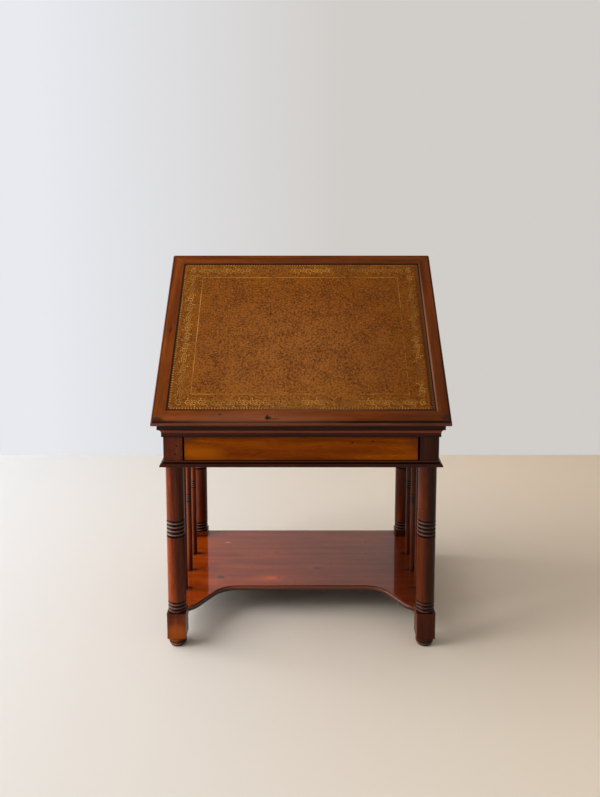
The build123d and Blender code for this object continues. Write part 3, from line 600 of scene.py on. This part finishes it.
# On the shelf: knots with their halos, dark streaks and a pale scratch. The brighter orange patches and
# streak are painted light, and the darker patch over its right end is painted shade.
shelf_marks = [
    ((-0.1870, -0.0290, 0.063), (0.0260, 0.016, 0.004), shelf_halo, 0.5),
    ((-0.1870, -0.0290, 0.063), (0.0120, 0.009, 0.004), knot_colour, 0.75),
    ((-0.0750, -0.0330, 0.063), (0.0500, 0.020, 0.004), shelf_glow, 0.35),
    ((-0.0703, -0.0336, 0.063), (0.0200, 0.011, 0.004), shelf_glow, 0.8),
    ((-0.0531, -0.0318, 0.063), (0.0040, 0.004, 0.004), knot_colour, 0.7),
    ((0.0260, 0.0200, 0.063), (0.0260, 0.014, 0.004), shelf_halo, 0.45),
    ((0.0377, 0.0137, 0.063), (0.0140, 0.005, 0.004), knot_colour, 0.9),
    ((-0.0601, 0.0947, 0.063), (0.0120, 0.004, 0.004), knot_colour, 0.6),
    ((-0.1866, 0.1467, 0.063), (0.0090, 0.003, 0.004), scratch_and_highlight_pale, 0.85),
    ((-0.2055, -0.0519, 0.063), (0.0300, 0.020, 0.004), shelf_glow, 0.45),
    ((-0.2541, -0.0831, 0.063), (0.0140, 0.006, 0.004), knot_colour, 0.8),
    ((-0.2166, 0.0483, 0.063), (0.0500, 0.004, 0.004), shelf_glow, 0.4),
    ((-0.1750, 0.0750, 0.063), (0.0500, 0.004, 0.004), knot_colour, 0.35),
    ((0.1553, 0.0534, 0.063), (0.0700, 0.008, 0.004), knot_colour, 0.25),
    ((0.2620, 0.0000, 0.063), (0.0600, 0.300, 0.010), shade_and_stain_colour, 0.35),
]
spindle_places = (-0.0762, 0.0058, 0.0878)
# Under each spindle's foot a dark mark: wax and a painted contact shadow.
for side in (-1, 1):
    for y in spindle_places:
        shelf_marks.append(((side * 0.2570, y, 0.063), (0.0180, 0.005, 0.004), wax_and_shade_colour, 0.85))
print("marks", len(frame_marks) + len(drawer_marks) + len(top_marks) + len(shelf_marks))

# %% [markdown]
# Each node of the frame now gets the wood that it is cut from. The list reads like a
# cutting list: the look, the way of the grain, and the pieces. Matching by the start
# of a name keeps left and right, and front and back, together. A band or a crest is
# two heights, a softness, a colour and a share: the bands hold wax and painted shade,
# with a few painted highlights, and the crests hold painted highlights. The right rail
# of the top has a pale line painted where its inner edge catches the window's light.

# %% Dress the wooden pieces
# Pale colours for painted highlights: on crests, in the cornice's hollow, on noses and on the base moulding's
# lip.
crest_highlight = paint(190, 150, 138)
lit_hollow = paint(150, 66, 40)
nose_sheen = paint(158, 116, 108)
lip_sheen = paint(164, 102, 66)
groove_reach = 0.26
crest_low, crest_high = 0.44, 0.66


def ring_bands(low, count, pitch, wear_and_painted_light, below=groove_reach):
    """Wax and painted shade in the grooves of a stack of rings, and a painted highlight of a given share on
    the crests between them.
    """
    lows = [low + pitch * (k - (groove_reach if k else below)) for k in range(count + 1)]
    highs = [low + pitch * (k + groove_reach) for k in range(count + 1)]
    zone = [(lows[0], highs[-1], line_soft, wax_and_shade_colour, 0.45)]
    groove_wax_and_shade = [(*ends, line_soft, wax_and_shade_colour, 0.95) for ends in zip(lows, highs)]
    painted_highlight_and_wear = [(low + pitch * (k + crest_low), low + pitch * (k + crest_high), line_soft, crest_highlight, wear_and_painted_light)
              for k in range(count)]
    return {"bands": zone + groove_wax_and_shade, "crests": painted_highlight_and_wear}


low_rings = ring_bands(low=0.0750, count=3, pitch=0.0078, wear_and_painted_light=0.5, below=-0.1)
high_rings = ring_bands(low=0.2442, count=4, pitch=0.0084, wear_and_painted_light=0.85)
# On the bun foot: painted shade in its groove and near the sole, and a painted highlight on its crest.
foot_ring = {
    "bands": [(0.0082, 0.0120, 0.0006, wax_and_shade_colour, 0.8), (0.0000, 0.0034, 0.0010, wax_and_shade_colour, 0.55)],
    "crests": [(0.0044, 0.0078, 0.0008, crest_highlight, 0.5)],
}
leg_rings = {kind: low_rings[kind] + high_rings[kind] + foot_ring[kind] for kind in foot_ring}
spindle_rings = ring_bands(low=0.2355, count=3, pitch=0.0050, wear_and_painted_light=0.6)
# Along the shelf's nose: painted shade under it and darker wood over its front, with two painted highlight
# lines.
shelf_edge = {
    "bands": [(0.0500, 0.0552, line_soft, wax_and_shade_colour, 0.9), (0.0552, 0.0624, line_soft, shade_and_stain_colour, 0.55)],
    "crests": [(0.0586, 0.0612, line_soft, nose_sheen, 0.5), (0.0556, 0.0568, line_soft, nose_sheen, 0.3)],
}
# Along the cornice: painted shade under the top and in its lines, and a painted highlight on the lower part
# of the hollow.
cornice_bands = {"bands": [
    (0.4795, 0.4910, line_soft, wax_and_shade_colour, 0.6), (0.4778, 0.4800, line_soft, wax_and_shade_colour, 0.8),
    (0.4715, 0.4768, 0.0010, lit_hollow, 0.7), (0.4650, 0.4700, 0.0010, wax_and_shade_colour, 0.25),
    (0.4626, 0.4650, line_soft, wax_and_shade_colour, 0.9),
]}
# Along the base moulding: painted shade in its groove, darker over its lower part, and a faint painted
# highlight on its lip.
base_bands = {"bands": [
    (0.4060, 0.4084, line_soft, wax_and_shade_colour, 0.9), (0.3995, 0.4052, line_soft, wax_and_shade_colour, 0.3),
    (0.4092, 0.4115, line_soft, lip_sheen, 0.1),
]}
# Along the rim of the top: a painted highlight on the nose, and painted shade in the quirk below the flat and
# in the reveal beside the leather.
rail_inside = (top_size.x - hide_size.x) / 2
rim_lines = [(-0.0010, 0.0020, nose_sheen, 0.14), (0.0022, 0.0052, wax_and_shade_colour, 0.9),
             (rail_inside - 0.0034, rail_inside + 0.0010, wax_and_shade_colour, 0.85)]
top_details = {"marks": top_marks, "rim_lines": rim_lines}

cutting_list = [
    ("legs", "turned", "upright", ["leg_"], dict(leg_rings, marks=frame_marks)),
    ("spindles", "turned", "upright", ["spindle_"], spindle_rings),
    ("cross_rails", "frame", "across", ["back_rail", "drawer_rail_", "prop_foot_bar"], {}),
    ("side_rails", "frame", "deep", ["side_rail_", "prop_rack_"], {}),
    ("prop_arms", "frame", "prop_deep", ["prop_arm_"], {}),
    ("bearing_blocks", "frame", "top_deep", ["prop_bracket_left", "prop_bracket_right"], {}),
    ("cornice_across", "moulding", "across", ["cornice_front", "cornice_back"], cornice_bands),
    ("cornice_deep", "moulding", "deep", ["cornice_left", "cornice_right"], cornice_bands),
    ("base_across", "moulding", "across", ["base_moulding_front", "base_moulding_back"], base_bands),
    ("base_deep", "moulding", "deep", ["base_moulding_left", "base_moulding_right"], base_bands),
    ("top_rails_across", "top", "top_across", ["top_rail_front", "top_rail_back"], top_details),
    ("top_rails_deep", "top", "top_deep", ["top_rail_left", "top_rail_right"],
     dict(top_details, marks=top_marks + [lit_arris])),
    ("drawer_face", "golden", "across", ["drawer_front"], {"marks": drawer_marks}),
    ("shelf_board", "shelf", "across", ["shelf"], dict(shelf_edge, marks=shelf_marks)),
    ("linings_across", "lining", "across", ["drawer_back", "drawer_bottom", "drawer_stops", "bed_board"], {}),
    ("linings_deep", "lining", "deep",
     ["drawer_side_", "drawer_runner_", "drawer_guide_", "drawer_kicker_"], {}),
    ("panel_lining", "lining", "top_across", ["top_panel"], {}),
]


def dress(name, material):
    """Give a node of the frame one material."""
    mesh = nodes[name].data
    mesh.materials.clear()
    mesh.materials.append(material)


for title, look, grain, starts, details in cutting_list:
    finish = wood(title, grain, looks[look], **details)
    dressed = [name for name in nodes if name.startswith(tuple(starts))]
    for name in dressed:
        dress(name, finish)
    print(finish.name, "on", len(dressed), "pieces")

# %% [markdown]
# The hinges are brass that has gone brown, and the screws and pins are steel. Aged
# metal is bright only where it is rubbed, so its colour and its roughness follow the
# same clouds of tarnish.

# %% Dress the metal
metal_ease = 0.0003
tarnish_scale = 160.0
speck_scale = 1400.0
speck_depth = 0.00005


def aged_metal(name, bright, dull, smooth):
    """Metal with clouds of tarnish and rubbed edges."""
    material, tree, shader = new_material(name)
    place = own_place(tree)
    cloud = noise(tree, place, tarnish_scale, 4.0)
    speck = noise(tree, place, speck_scale, 2.0)
    eased = rounded(tree, metal_ease)
    tarnish = maths(tree, "SUBTRACT", remap(tree, cloud, 0.35, 0.65), outer_edges(tree, eased))
    colour = mix(tree, tarnish, bright, dull)
    fill(tree, shader.inputs, {
        "Base Color": mix(tree, remap(tree, speck, 0.62, 0.75, 0.0, 0.6), colour, dull),
        "Roughness": remap(tree, cloud, 0.3, 0.7, smooth, smooth + 0.25),
        "Normal": bump(tree, speck, speck_depth, 0.3, eased),
        "Metallic": 1.0,
    })
    return material


brass = aged_metal("aged_brass", paint(188, 152, 88), paint(110, 80, 42), 0.3)
steel = aged_metal("aged_steel", paint(150, 146, 140), paint(84, 76, 68), 0.35)
metal = {name: brass for name in nodes if name.startswith("hinge_leaf_")}
metal.update({name: steel for name in nodes if name.endswith(("_screws", "_pins"))})
for name, finish in metal.items():
    dress(name, finish)
print("metal on", len(metal), "pieces")

# %% [markdown]
# The lining is an antiqued hide. Its middle is rust brown, mottled dark and light at
# the size of a lentil, and the mottling gathers in clouds. A border two fingers wide
# is clearer and more golden. Near the rim the hide is dark where the dog-tooth roll
# leaves it bare, and its cut edge is pale. All of that depends on how far a point is
# from the rim, so the finish works in the closed top's own coordinates and takes the
# least of the four distances. On the right the dark rim is wider, and the dog tooth
# shows there as dark teeth without gold.

# %% Write the leather finish
border_width = 0.0395
rim_width = 0.0038
lip_width = 0.0013
hide_rust = paint(150, 81, 14)
hide_dark = paint(78, 36, 6)
hide_gold = paint(146, 80, 0)
hide_light = paint(194, 114, 34)
hide_rubbed = paint(206, 138, 76)
hide_rim = paint(46, 20, 8)
hide_lip = paint(156, 102, 60)
mottle_size = 0.0042
cloud_scale = 11.0
patch_scale = 24.0
pebble_scale = 620.0
pebble_depth = 0.0003
rubbed_place = (-0.02, -0.08, 0.0)
rubbed_reach = (0.26, 0.20, 0.1)
bare_width = 0.0105
bare_from = hide_size.x / 2 - bare_width
millimetre = 0.001
tooth_pitch = 6.0


def leather():
    """Antiqued hide, golden at the border and freckled in the middle."""
    material, tree, shader = new_material("antiqued_hide")
    flat, inside = in_from_rim(tree, hide_middle, hide_size)
    parts = split(tree, flat)
    cloud = noise(tree, flat, cloud_scale, 5.0, 0.6)
    mottle = noise(tree, flat, 1 / mottle_size, 5.0, 0.0, 0.72)
    fleck = noise(tree, vectors(tree, "ADD", flat, (3.0, 5.0, 7.0)), 1 / mottle_size, 5.0, 0.0, 0.75)
    patch = noise(tree, vectors(tree, "ADD", flat, (9.0, 2.0, 4.0)), patch_scale, 3.0)
    middle = remap(tree, inside, border_width - 0.002, border_width + 0.05)
    rusty = maths(tree, "ADD", remap(tree, cloud, 0.35, 0.65, -0.35, 0.35), middle)

    colour = mix(tree, remap(tree, rusty, 0.1, 1.1), hide_gold, hide_rust)
    colour = mixed_over(tree, colour, hide_rubbed, 0.2, spot(tree, flat, rubbed_place, rubbed_reach))
    gather = remap(tree, patch, 0.35, 0.65, -0.035, 0.035)
    gather = maths(tree, "ADD", gather, remap(tree, middle, 0.0, 1.0, -0.01, 0.01))
    mottled = remap(tree, maths(tree, "ADD", mottle, gather), 0.44, 0.58, 0.0, 0.85)
    colour = mix(tree, mottled, colour, hide_dark)
    colour = mix(tree, remap(tree, fleck, 0.52, 0.63, 0.0, 0.75), colour, hide_light)
    colour = mix(tree, remap(tree, inside, rim_width * 0.95, rim_width * 1.1, 0.5, 0.0), colour, hide_rim)
    zigzag = maths(tree, "PINGPONG", parts["Y"], tooth_pitch * millimetre / 2)
    teeth = remap(tree, maths(tree, "SUBTRACT", parts["X"], zigzag), bare_from, bare_from + millimetre)
    colour = mixed_over(tree, colour, hide_rim, remap(tree, parts["Y"], hide_size.y / 2, 0.0, 0.2, 0.75), teeth)
    colour = mix(tree, remap(tree, inside, lip_width * 0.9, lip_width * 1.1, 0.45, 0.0), colour, hide_lip)
    # Painted shade: the hide darkens towards the right, away from the window.
    colour = mix(tree, remap(tree, parts["X"], 0.0, table_half, 0.0, 0.3), colour, hide_dark)

    pebble = {"Vector": flat, "Scale": pebble_scale}
    pebble = use(tree, "ShaderNodeTexVoronoi", "Distance", pebble, feature="SMOOTH_F1")
    relief = maths(tree, "ADD", maths(tree, "MULTIPLY", pebble, 0.6), mottle)
    smooth = add(tree, "ShaderNodeNewGeometry").outputs["Normal"]
    fill(tree, shader.inputs, {
        "Base Color": colour,
        "Normal": bump(tree, relief, pebble_depth, 0.25, smooth),
        "Roughness": remap(tree, mottle, 0.3, 0.7, 0.42, 0.6),
        "Specular IOR Level": 0.1,
    })
    return material


dress("leather_inset", leather())
print("hide", round(hide_size.x, 3), "by", round(hide_size.y, 3), "m, border", border_width)

# %% [markdown]
# A binder tools the border with heated brass rolls over gold leaf. Each roll carries
# a short pattern and repeats it as it runs. Here a motif is drawn once as a flat
# gilt ribbon, in millimetres because it is so small. The running scroll has a waving
# stem, a volute in each bend and a few leaves. The dog tooth is a triangle. A corner
# has a curl of its own, from a hand tool. The hot brass also darkens the hide, so the
# scroll and the curl are drawn a second time, wider and lower, as burnt hide.

# %% Draw the motifs of the rolls
gilt_height = 0.07
gilt_depth = 0.05
curl_steps = 14


def ribbon_faces(mesh, points, widths, height):
    """A thin closed ribbon along points, with a width at each."""
    rows = []
    for index, (x, y) in enumerate(points):
        before = points[max(index - 1, 0)]
        after = points[min(index + 1, len(points) - 1)]
        way = Vector((after[0] - before[0], after[1] - before[1])).normalized()
        side = Vector((-way.y, way.x)) * widths[index] / 2
        corners = [(x + side.x, y + side.y), (x - side.x, y - side.y)]
        top = [mesh.verts.new((cx, cy, height)) for cx, cy in corners]
        base = [mesh.verts.new((cx, cy, -gilt_depth)) for cx, cy in reversed(corners)]
        rows.append(top + base)
    for row, following in zip(rows, rows[1:]):
        for index in range(4):
            turn = (index + 1) % 4
            mesh.faces.new((row[index], row[turn], following[turn], following[index]))
    mesh.faces.new(reversed(rows[0]))
    mesh.faces.new(rows[-1])


def polar(centre, angle, reach):
    """The point at an angle and a distance from a centre."""
    return centre[0] + reach * cos(angle), centre[1] + reach * sin(angle)


def leaf_line(start, angle, length, width):
    """The points and widths of a pointed leaf."""
    shares, outline = (0.0, 0.3, 0.65, 1.0), (0.3, 1.0, 0.7, 0.12)
    return [polar(start, angle, length * s) for s in shares], [width * share for share in outline]


def curl_line(centre, start_angle, radius, turns, width):
    """The points and widths of a curl that winds in to its centre."""
    shares = [index / curl_steps for index in range(curl_steps + 1)]
    points = [polar(centre, start_angle + 2 * pi * turns * s, radius * (1 - 0.8 * s)) for s in shares]
    return points, [width * (1.15 - 0.3 * s) for s in shares]


def motif(name, lines, margin=0.0, height=gilt_height):
    """An object that a roll repeats: a ribbon along each line, drawn in millimetres."""
    mesh = bmesh.new()
    for points, widths in lines:
        ribbon_faces(mesh, points, [width + margin for width in widths], height)
    bmesh.ops.scale(mesh, vec=Vector((millimetre,) * 3), verts=mesh.verts)
    bmesh.ops.recalc_face_normals(mesh, faces=mesh.faces)
    data = bpy.data.meshes.new(name)
    mesh.to_mesh(data)
    mesh.free()
    return place_object(name, data)


scroll_pitch = 27.0
scroll_swing = 4.4
scroll_line = 1.1
scroll_steps = 12
volute_drop = 1.6
volute_radius = 6.0
volute_turns = 1.15
leaf_angles = (0.5, 1.7)
leaf_length, leaf_width = 4.2, 2.4
corner_radius = 8.0
corner_turns = 1.3
corner_line = 1.6
eye_length, eye_width = 2.4, 2.6
burn_margin = 1.1
burn_height = 0.03
tooth_depth = 2.6
tooth_tip = 0.8
tooth_share = 0.6


def scroll_lines():
    """One wave of the running scroll: stem, two volutes and their leaves."""
    places = [scroll_pitch * (index / scroll_steps - 0.5) for index in range(scroll_steps + 1)]
    stem = [(x, scroll_swing * sin(2 * pi * x / scroll_pitch)) for x in places]
    lines = [(stem, [scroll_line] * len(stem))]
    for side in (-1, 1):
        centre = (side * scroll_pitch / 4, -side * volute_drop)
        lines.append(curl_line(centre, side * pi / 2, volute_radius, side * volute_turns, scroll_line))
        for angle in leaf_angles:
            start = polar(centre, angle, -side * volute_radius)
            lines.append(leaf_line(start, angle + (pi if side > 0 else 0.0), leaf_length, leaf_width))
    return lines


def corner_lines():
    """The curl that fills a corner, with a small eye."""
    curl = curl_line((0.0, 0.0), pi / 3, corner_radius, corner_turns, corner_line)
    return [curl, leaf_line((-eye_length / 2, 0.0), 0.0, eye_length, eye_width)]


tooth_lines = [([(0, -tooth_depth), (0, 0)], [tooth_tip, tooth_pitch * tooth_share])]
motifs = {"tooth": motif("tooth", tooth_lines)}
for name, lines in (("scroll", scroll_lines()), ("corner", corner_lines())):
    motifs[name] = motif(name, lines)
    motifs[name + "_burn"] = motif(name + "_burn", lines, burn_margin, burn_height)
print("motif faces", {name: len(made.data.polygons) for name, made in motifs.items()})

# %% [markdown]
# The rolls run round the border in four straight passes. That is a job for Geometry
# Nodes: a line of points for each pass, a motif on each point, and a copy turned
# half round for the far side. The tree works out how many whole motifs fit a pass and
# spreads them evenly, so the same tree serves the scroll and the dog tooth. Two
# smaller trees draw the plain line and set the curls on the corners.

# %% Build the trees for the rolls, the line and the corners
def tree_with(name, sockets):
    """A Geometry Nodes tree with named inputs, each a number unless its name says more."""
    tree = bpy.data.node_groups.new(name, "GeometryNodeTree")
    kinds = {"Geometry": "Geometry", "Motif": "Object", "Finish": "Material"}
    for socket in ("Geometry", *sockets):
        kind = "NodeSocket" + kinds.get(socket, "Float")
        tree.interface.new_socket(socket, in_out="INPUT", socket_type=kind)
    tree.interface.new_socket("Geometry", in_out="OUTPUT", socket_type="NodeSocketGeometry")
    return tree, add(tree, "NodeGroupInput").outputs


def finish_tree(tree, given, geometry):
    """Make a tree's geometry one plain mesh, give it its material and hand it on."""
    real = use(tree, "GeometryNodeRealizeInstances", "Geometry", {"Geometry": geometry})
    values = {"Geometry": real, "Material": given["Finish"]}
    finished = use(tree, "GeometryNodeSetMaterial", "Geometry", values)
    feed(tree, add(tree, "NodeGroupOutput").inputs["Geometry"], finished)
    return tree


def on_points(tree, given, points):
    """The motif on each point."""
    shape = use(tree, "GeometryNodeObjectInfo", "Geometry", {"Object": given["Motif"]})
    return use(tree, "GeometryNodeInstanceOnPoints", "Instances", {"Points": points, "Instance": shape})


def point(tree, x, y):
    """A point made of two numbers."""
    return use(tree, "ShaderNodeCombineXYZ", "Vector", {"X": x, "Y": y})


def rectangle(tree, width, height):
    """The outline of a rectangle."""
    values = {"Width": width, "Height": height}
    return use(tree, "GeometryNodeCurvePrimitiveQuadrilateral", "Curve", values)


def roll_tree():
    """Repeats a motif along the four sides of a rectangle."""
    tree, given = tree_with("Tooling roll", ("Motif", "Width", "Height", "Corner", "Pitch", "Finish"))
    joined = add(tree, "GeometryNodeJoinGeometry")
    for run, apart, turns in (("Width", "Height", (0.0, pi)), ("Height", "Width", (pi / 2, -pi / 2))):
        length = maths(tree, "SUBTRACT", given[run], maths(tree, "MULTIPLY", given["Corner"], 2.0))
        count = maths(tree, "ROUND", maths(tree, "DIVIDE", length, given["Pitch"]))
        gap = maths(tree, "DIVIDE", length, count)
        start_x = maths(tree, "DIVIDE", maths(tree, "SUBTRACT", gap, length), 2.0)
        start = point(tree, start_x, maths(tree, "DIVIDE", given[apart], -2.0))
        values = {"Count": count, "Start Location": start, "Offset": point(tree, gap, 0.0)}
        line = use(tree, "GeometryNodeMeshLine", "Mesh", values, mode="OFFSET")
        placed = on_points(tree, given, line)
        for turn in turns:
            values = {"Geometry": placed, "Rotation": Euler((0.0, 0.0, turn))}
            feed(tree, joined.inputs["Geometry"], use(tree, "GeometryNodeTransform", "Geometry", values))
    return finish_tree(tree, given, joined.outputs["Geometry"])


def fillet_tree():
    """A thin gilt line round a rectangle."""
    tree, given = tree_with("Gilt line", ("Width", "Height", "Line", "Thickness", "Finish"))
    values = {"Curve": rectangle(tree, given["Width"], given["Height"]),
              "Profile Curve": rectangle(tree, given["Line"], given["Thickness"])}
    return finish_tree(tree, given, use(tree, "GeometryNodeCurveToMesh", "Mesh", values))


def corner_tree():
    """Sets a motif on the four corners of a rectangle."""
    tree, given = tree_with("Corner tool", ("Motif", "Width", "Height", "Finish"))
    values = {"Size X": given["Width"], "Size Y": given["Height"], "Vertices X": 2, "Vertices Y": 2}
    corners = use(tree, "GeometryNodeMeshGrid", "Mesh", values)
    return finish_tree(tree, given, on_points(tree, given, corners))


trees = {"roll": roll_tree(), "line": fillet_tree(), "corner": corner_tree()}
print("trees", ", ".join(tree.name for tree in trees.values()))

# %% [markdown]
# Gold leaf on an old hide is thin and rubbed. It is neither clean metal nor paint, so
# its shader is partly metal, its roughness is high, and noise at two sizes lets the
# brown of the hide through where hands have worn it. Towards the right more of the
# brown shows through, as painted shade, and the gold is gone from the dark rim there.
# The burnt hide under it is dark in patches.

# %% Write the gilt and the burnt finish
leaf_gold = paint(222, 160, 70)
wear_scale = 22.0
grain_scale = 700.0
burn_scale = 160.0


def gilt():
    """Rubbed gold leaf."""
    material, tree, shader = new_material("rubbed_gilt")
    place = own_place(tree)
    across = split(tree, place)["X"]
    patch = noise(tree, place, wear_scale, 3.0)
    grain = noise(tree, place, grain_scale, 2.0)
    wear_and_painted_light = maths(tree, "ADD", remap(tree, patch, 0.35, 0.7), remap(tree, grain, 0.4, 0.7, -0.3, 0.5))
    # Painted shade: the gold gives way to the hide's brown more towards the right.
    wear_and_painted_light = maths(tree, "ADD", wear_and_painted_light, remap(tree, across, -table_half, table_half, -0.15, 0.35))
    wear_and_painted_light = maths(tree, "ADD", wear_and_painted_light, remap(tree, across, bare_from, bare_from + 2 * millimetre))
    fill(tree, shader.inputs, {
        "Base Color": mix(tree, remap(tree, wear_and_painted_light, 0.15, 1.0, 0.0, 0.85), leaf_gold, hide_dark),
        "Roughness": remap(tree, grain, 0.3, 0.7, 0.38, 0.55),
        "Metallic": 0.15,
        "Specular IOR Level": 0.2,
    })
    return material


def burnt_hide():
    """Hide darkened by the hot tool, uneven like the hand that pressed it."""
    material, tree, shader = new_material("burnt_hide")
    patch = noise(tree, own_place(tree), burn_scale, 4.0, 0.0, 0.7)
    fill(tree, shader.inputs, {
        "Base Color": mix(tree, remap(tree, patch, 0.4, 0.62), hide_dark, hide_gold),
        "Roughness": remap(tree, patch, 0.3, 0.7, 0.45, 0.6),
        "Specular IOR Level": 0.1,
    })
    return material


gilt_finish = gilt()
burnt_finish = burnt_hide()
print("gilt finish", gilt_finish.name, "and", burnt_finish.name)

# %% [markdown]
# A roll is run flat round the middle of the hide, baked to a plain mesh, and only
# then carried to the open top with the matrix from the start. The modifier goes
# before the piece is given to its body, because the finished piece has to be a plain
# mesh that turns with the top. The binder didn't set the tools quite in the middle of
# the hide, so the scroll and the line each have a small shift.

# %% Run the rolls round the border
hide_face = Vector((*hide_middle.xy, hide_high.z))


def run_tree(name, tree, values, shift):
    """Bake a tree to a plain piece that lies on the leather and rides on the top."""
    carrier = place_object(name, bpy.data.meshes.new(name))
    modifier = carrier.modifiers.new(name, "NODES")
    modifier.node_group = tree
    for item in tree.interface.items_tree:
        if item.in_out == "INPUT" and item.name in values:
            modifier[item.identifier] = values[item.name]
    carrier.data.update()
    shapes = bpy.context.evaluated_depsgraph_get()
    baked = bpy.data.meshes.new_from_object(carrier.evaluated_get(shapes), depsgraph=shapes)
    carrier.modifiers.remove(modifier)
    carrier.data = baked
    baked.transform(open_top @ Matrix.Translation(hide_face + Vector((*shift, 0.0))))
    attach(carrier, "top")
    print(name, len(baked.polygons), "faces")


scroll_inset = (0.0220, 0.0174)
scroll_shift = (0.0, -0.0011)
scroll_corner = 0.012
line_inset = (0.0468, 0.0381)
line_shift = (-0.0022, -0.0016)
line_width = 0.0012


def inset_size(across, back):
    """Width and height of the rectangle that lies so far inside the rim of the hide."""
    return {"Width": hide_size.x - 2 * across, "Height": hide_size.y - 2 * back}


scroll_box = inset_size(*scroll_inset)
scroll_run = dict(scroll_box, Corner=scroll_corner, Pitch=scroll_pitch * millimetre)
for start, ending, finish in (("gilt", "", gilt_finish), ("burnt", "_burn", burnt_finish)):
    values = dict(scroll_run, Motif=motifs["scroll" + ending], Finish=finish)
    run_tree(start + "_scroll", trees["roll"], values, scroll_shift)
    values = dict(scroll_box, Motif=motifs["corner" + ending], Finish=finish)
    run_tree(start + "_corners", trees["corner"], values, scroll_shift)
values = dict(inset_size(rim_width, rim_width), Corner=0.0, Pitch=tooth_pitch * millimetre)
values.update(Motif=motifs["tooth"], Finish=gilt_finish)
run_tree("gilt_dog_tooth", trees["roll"], values, (0.0, 0.0))
values = dict(inset_size(*line_inset), Line=line_width, Thickness=2 * gilt_height * millimetre)
run_tree("gilt_line", trees["line"], dict(values, Finish=gilt_finish), line_shift)
for shape in motifs.values():
    bpy.data.objects.remove(shape)
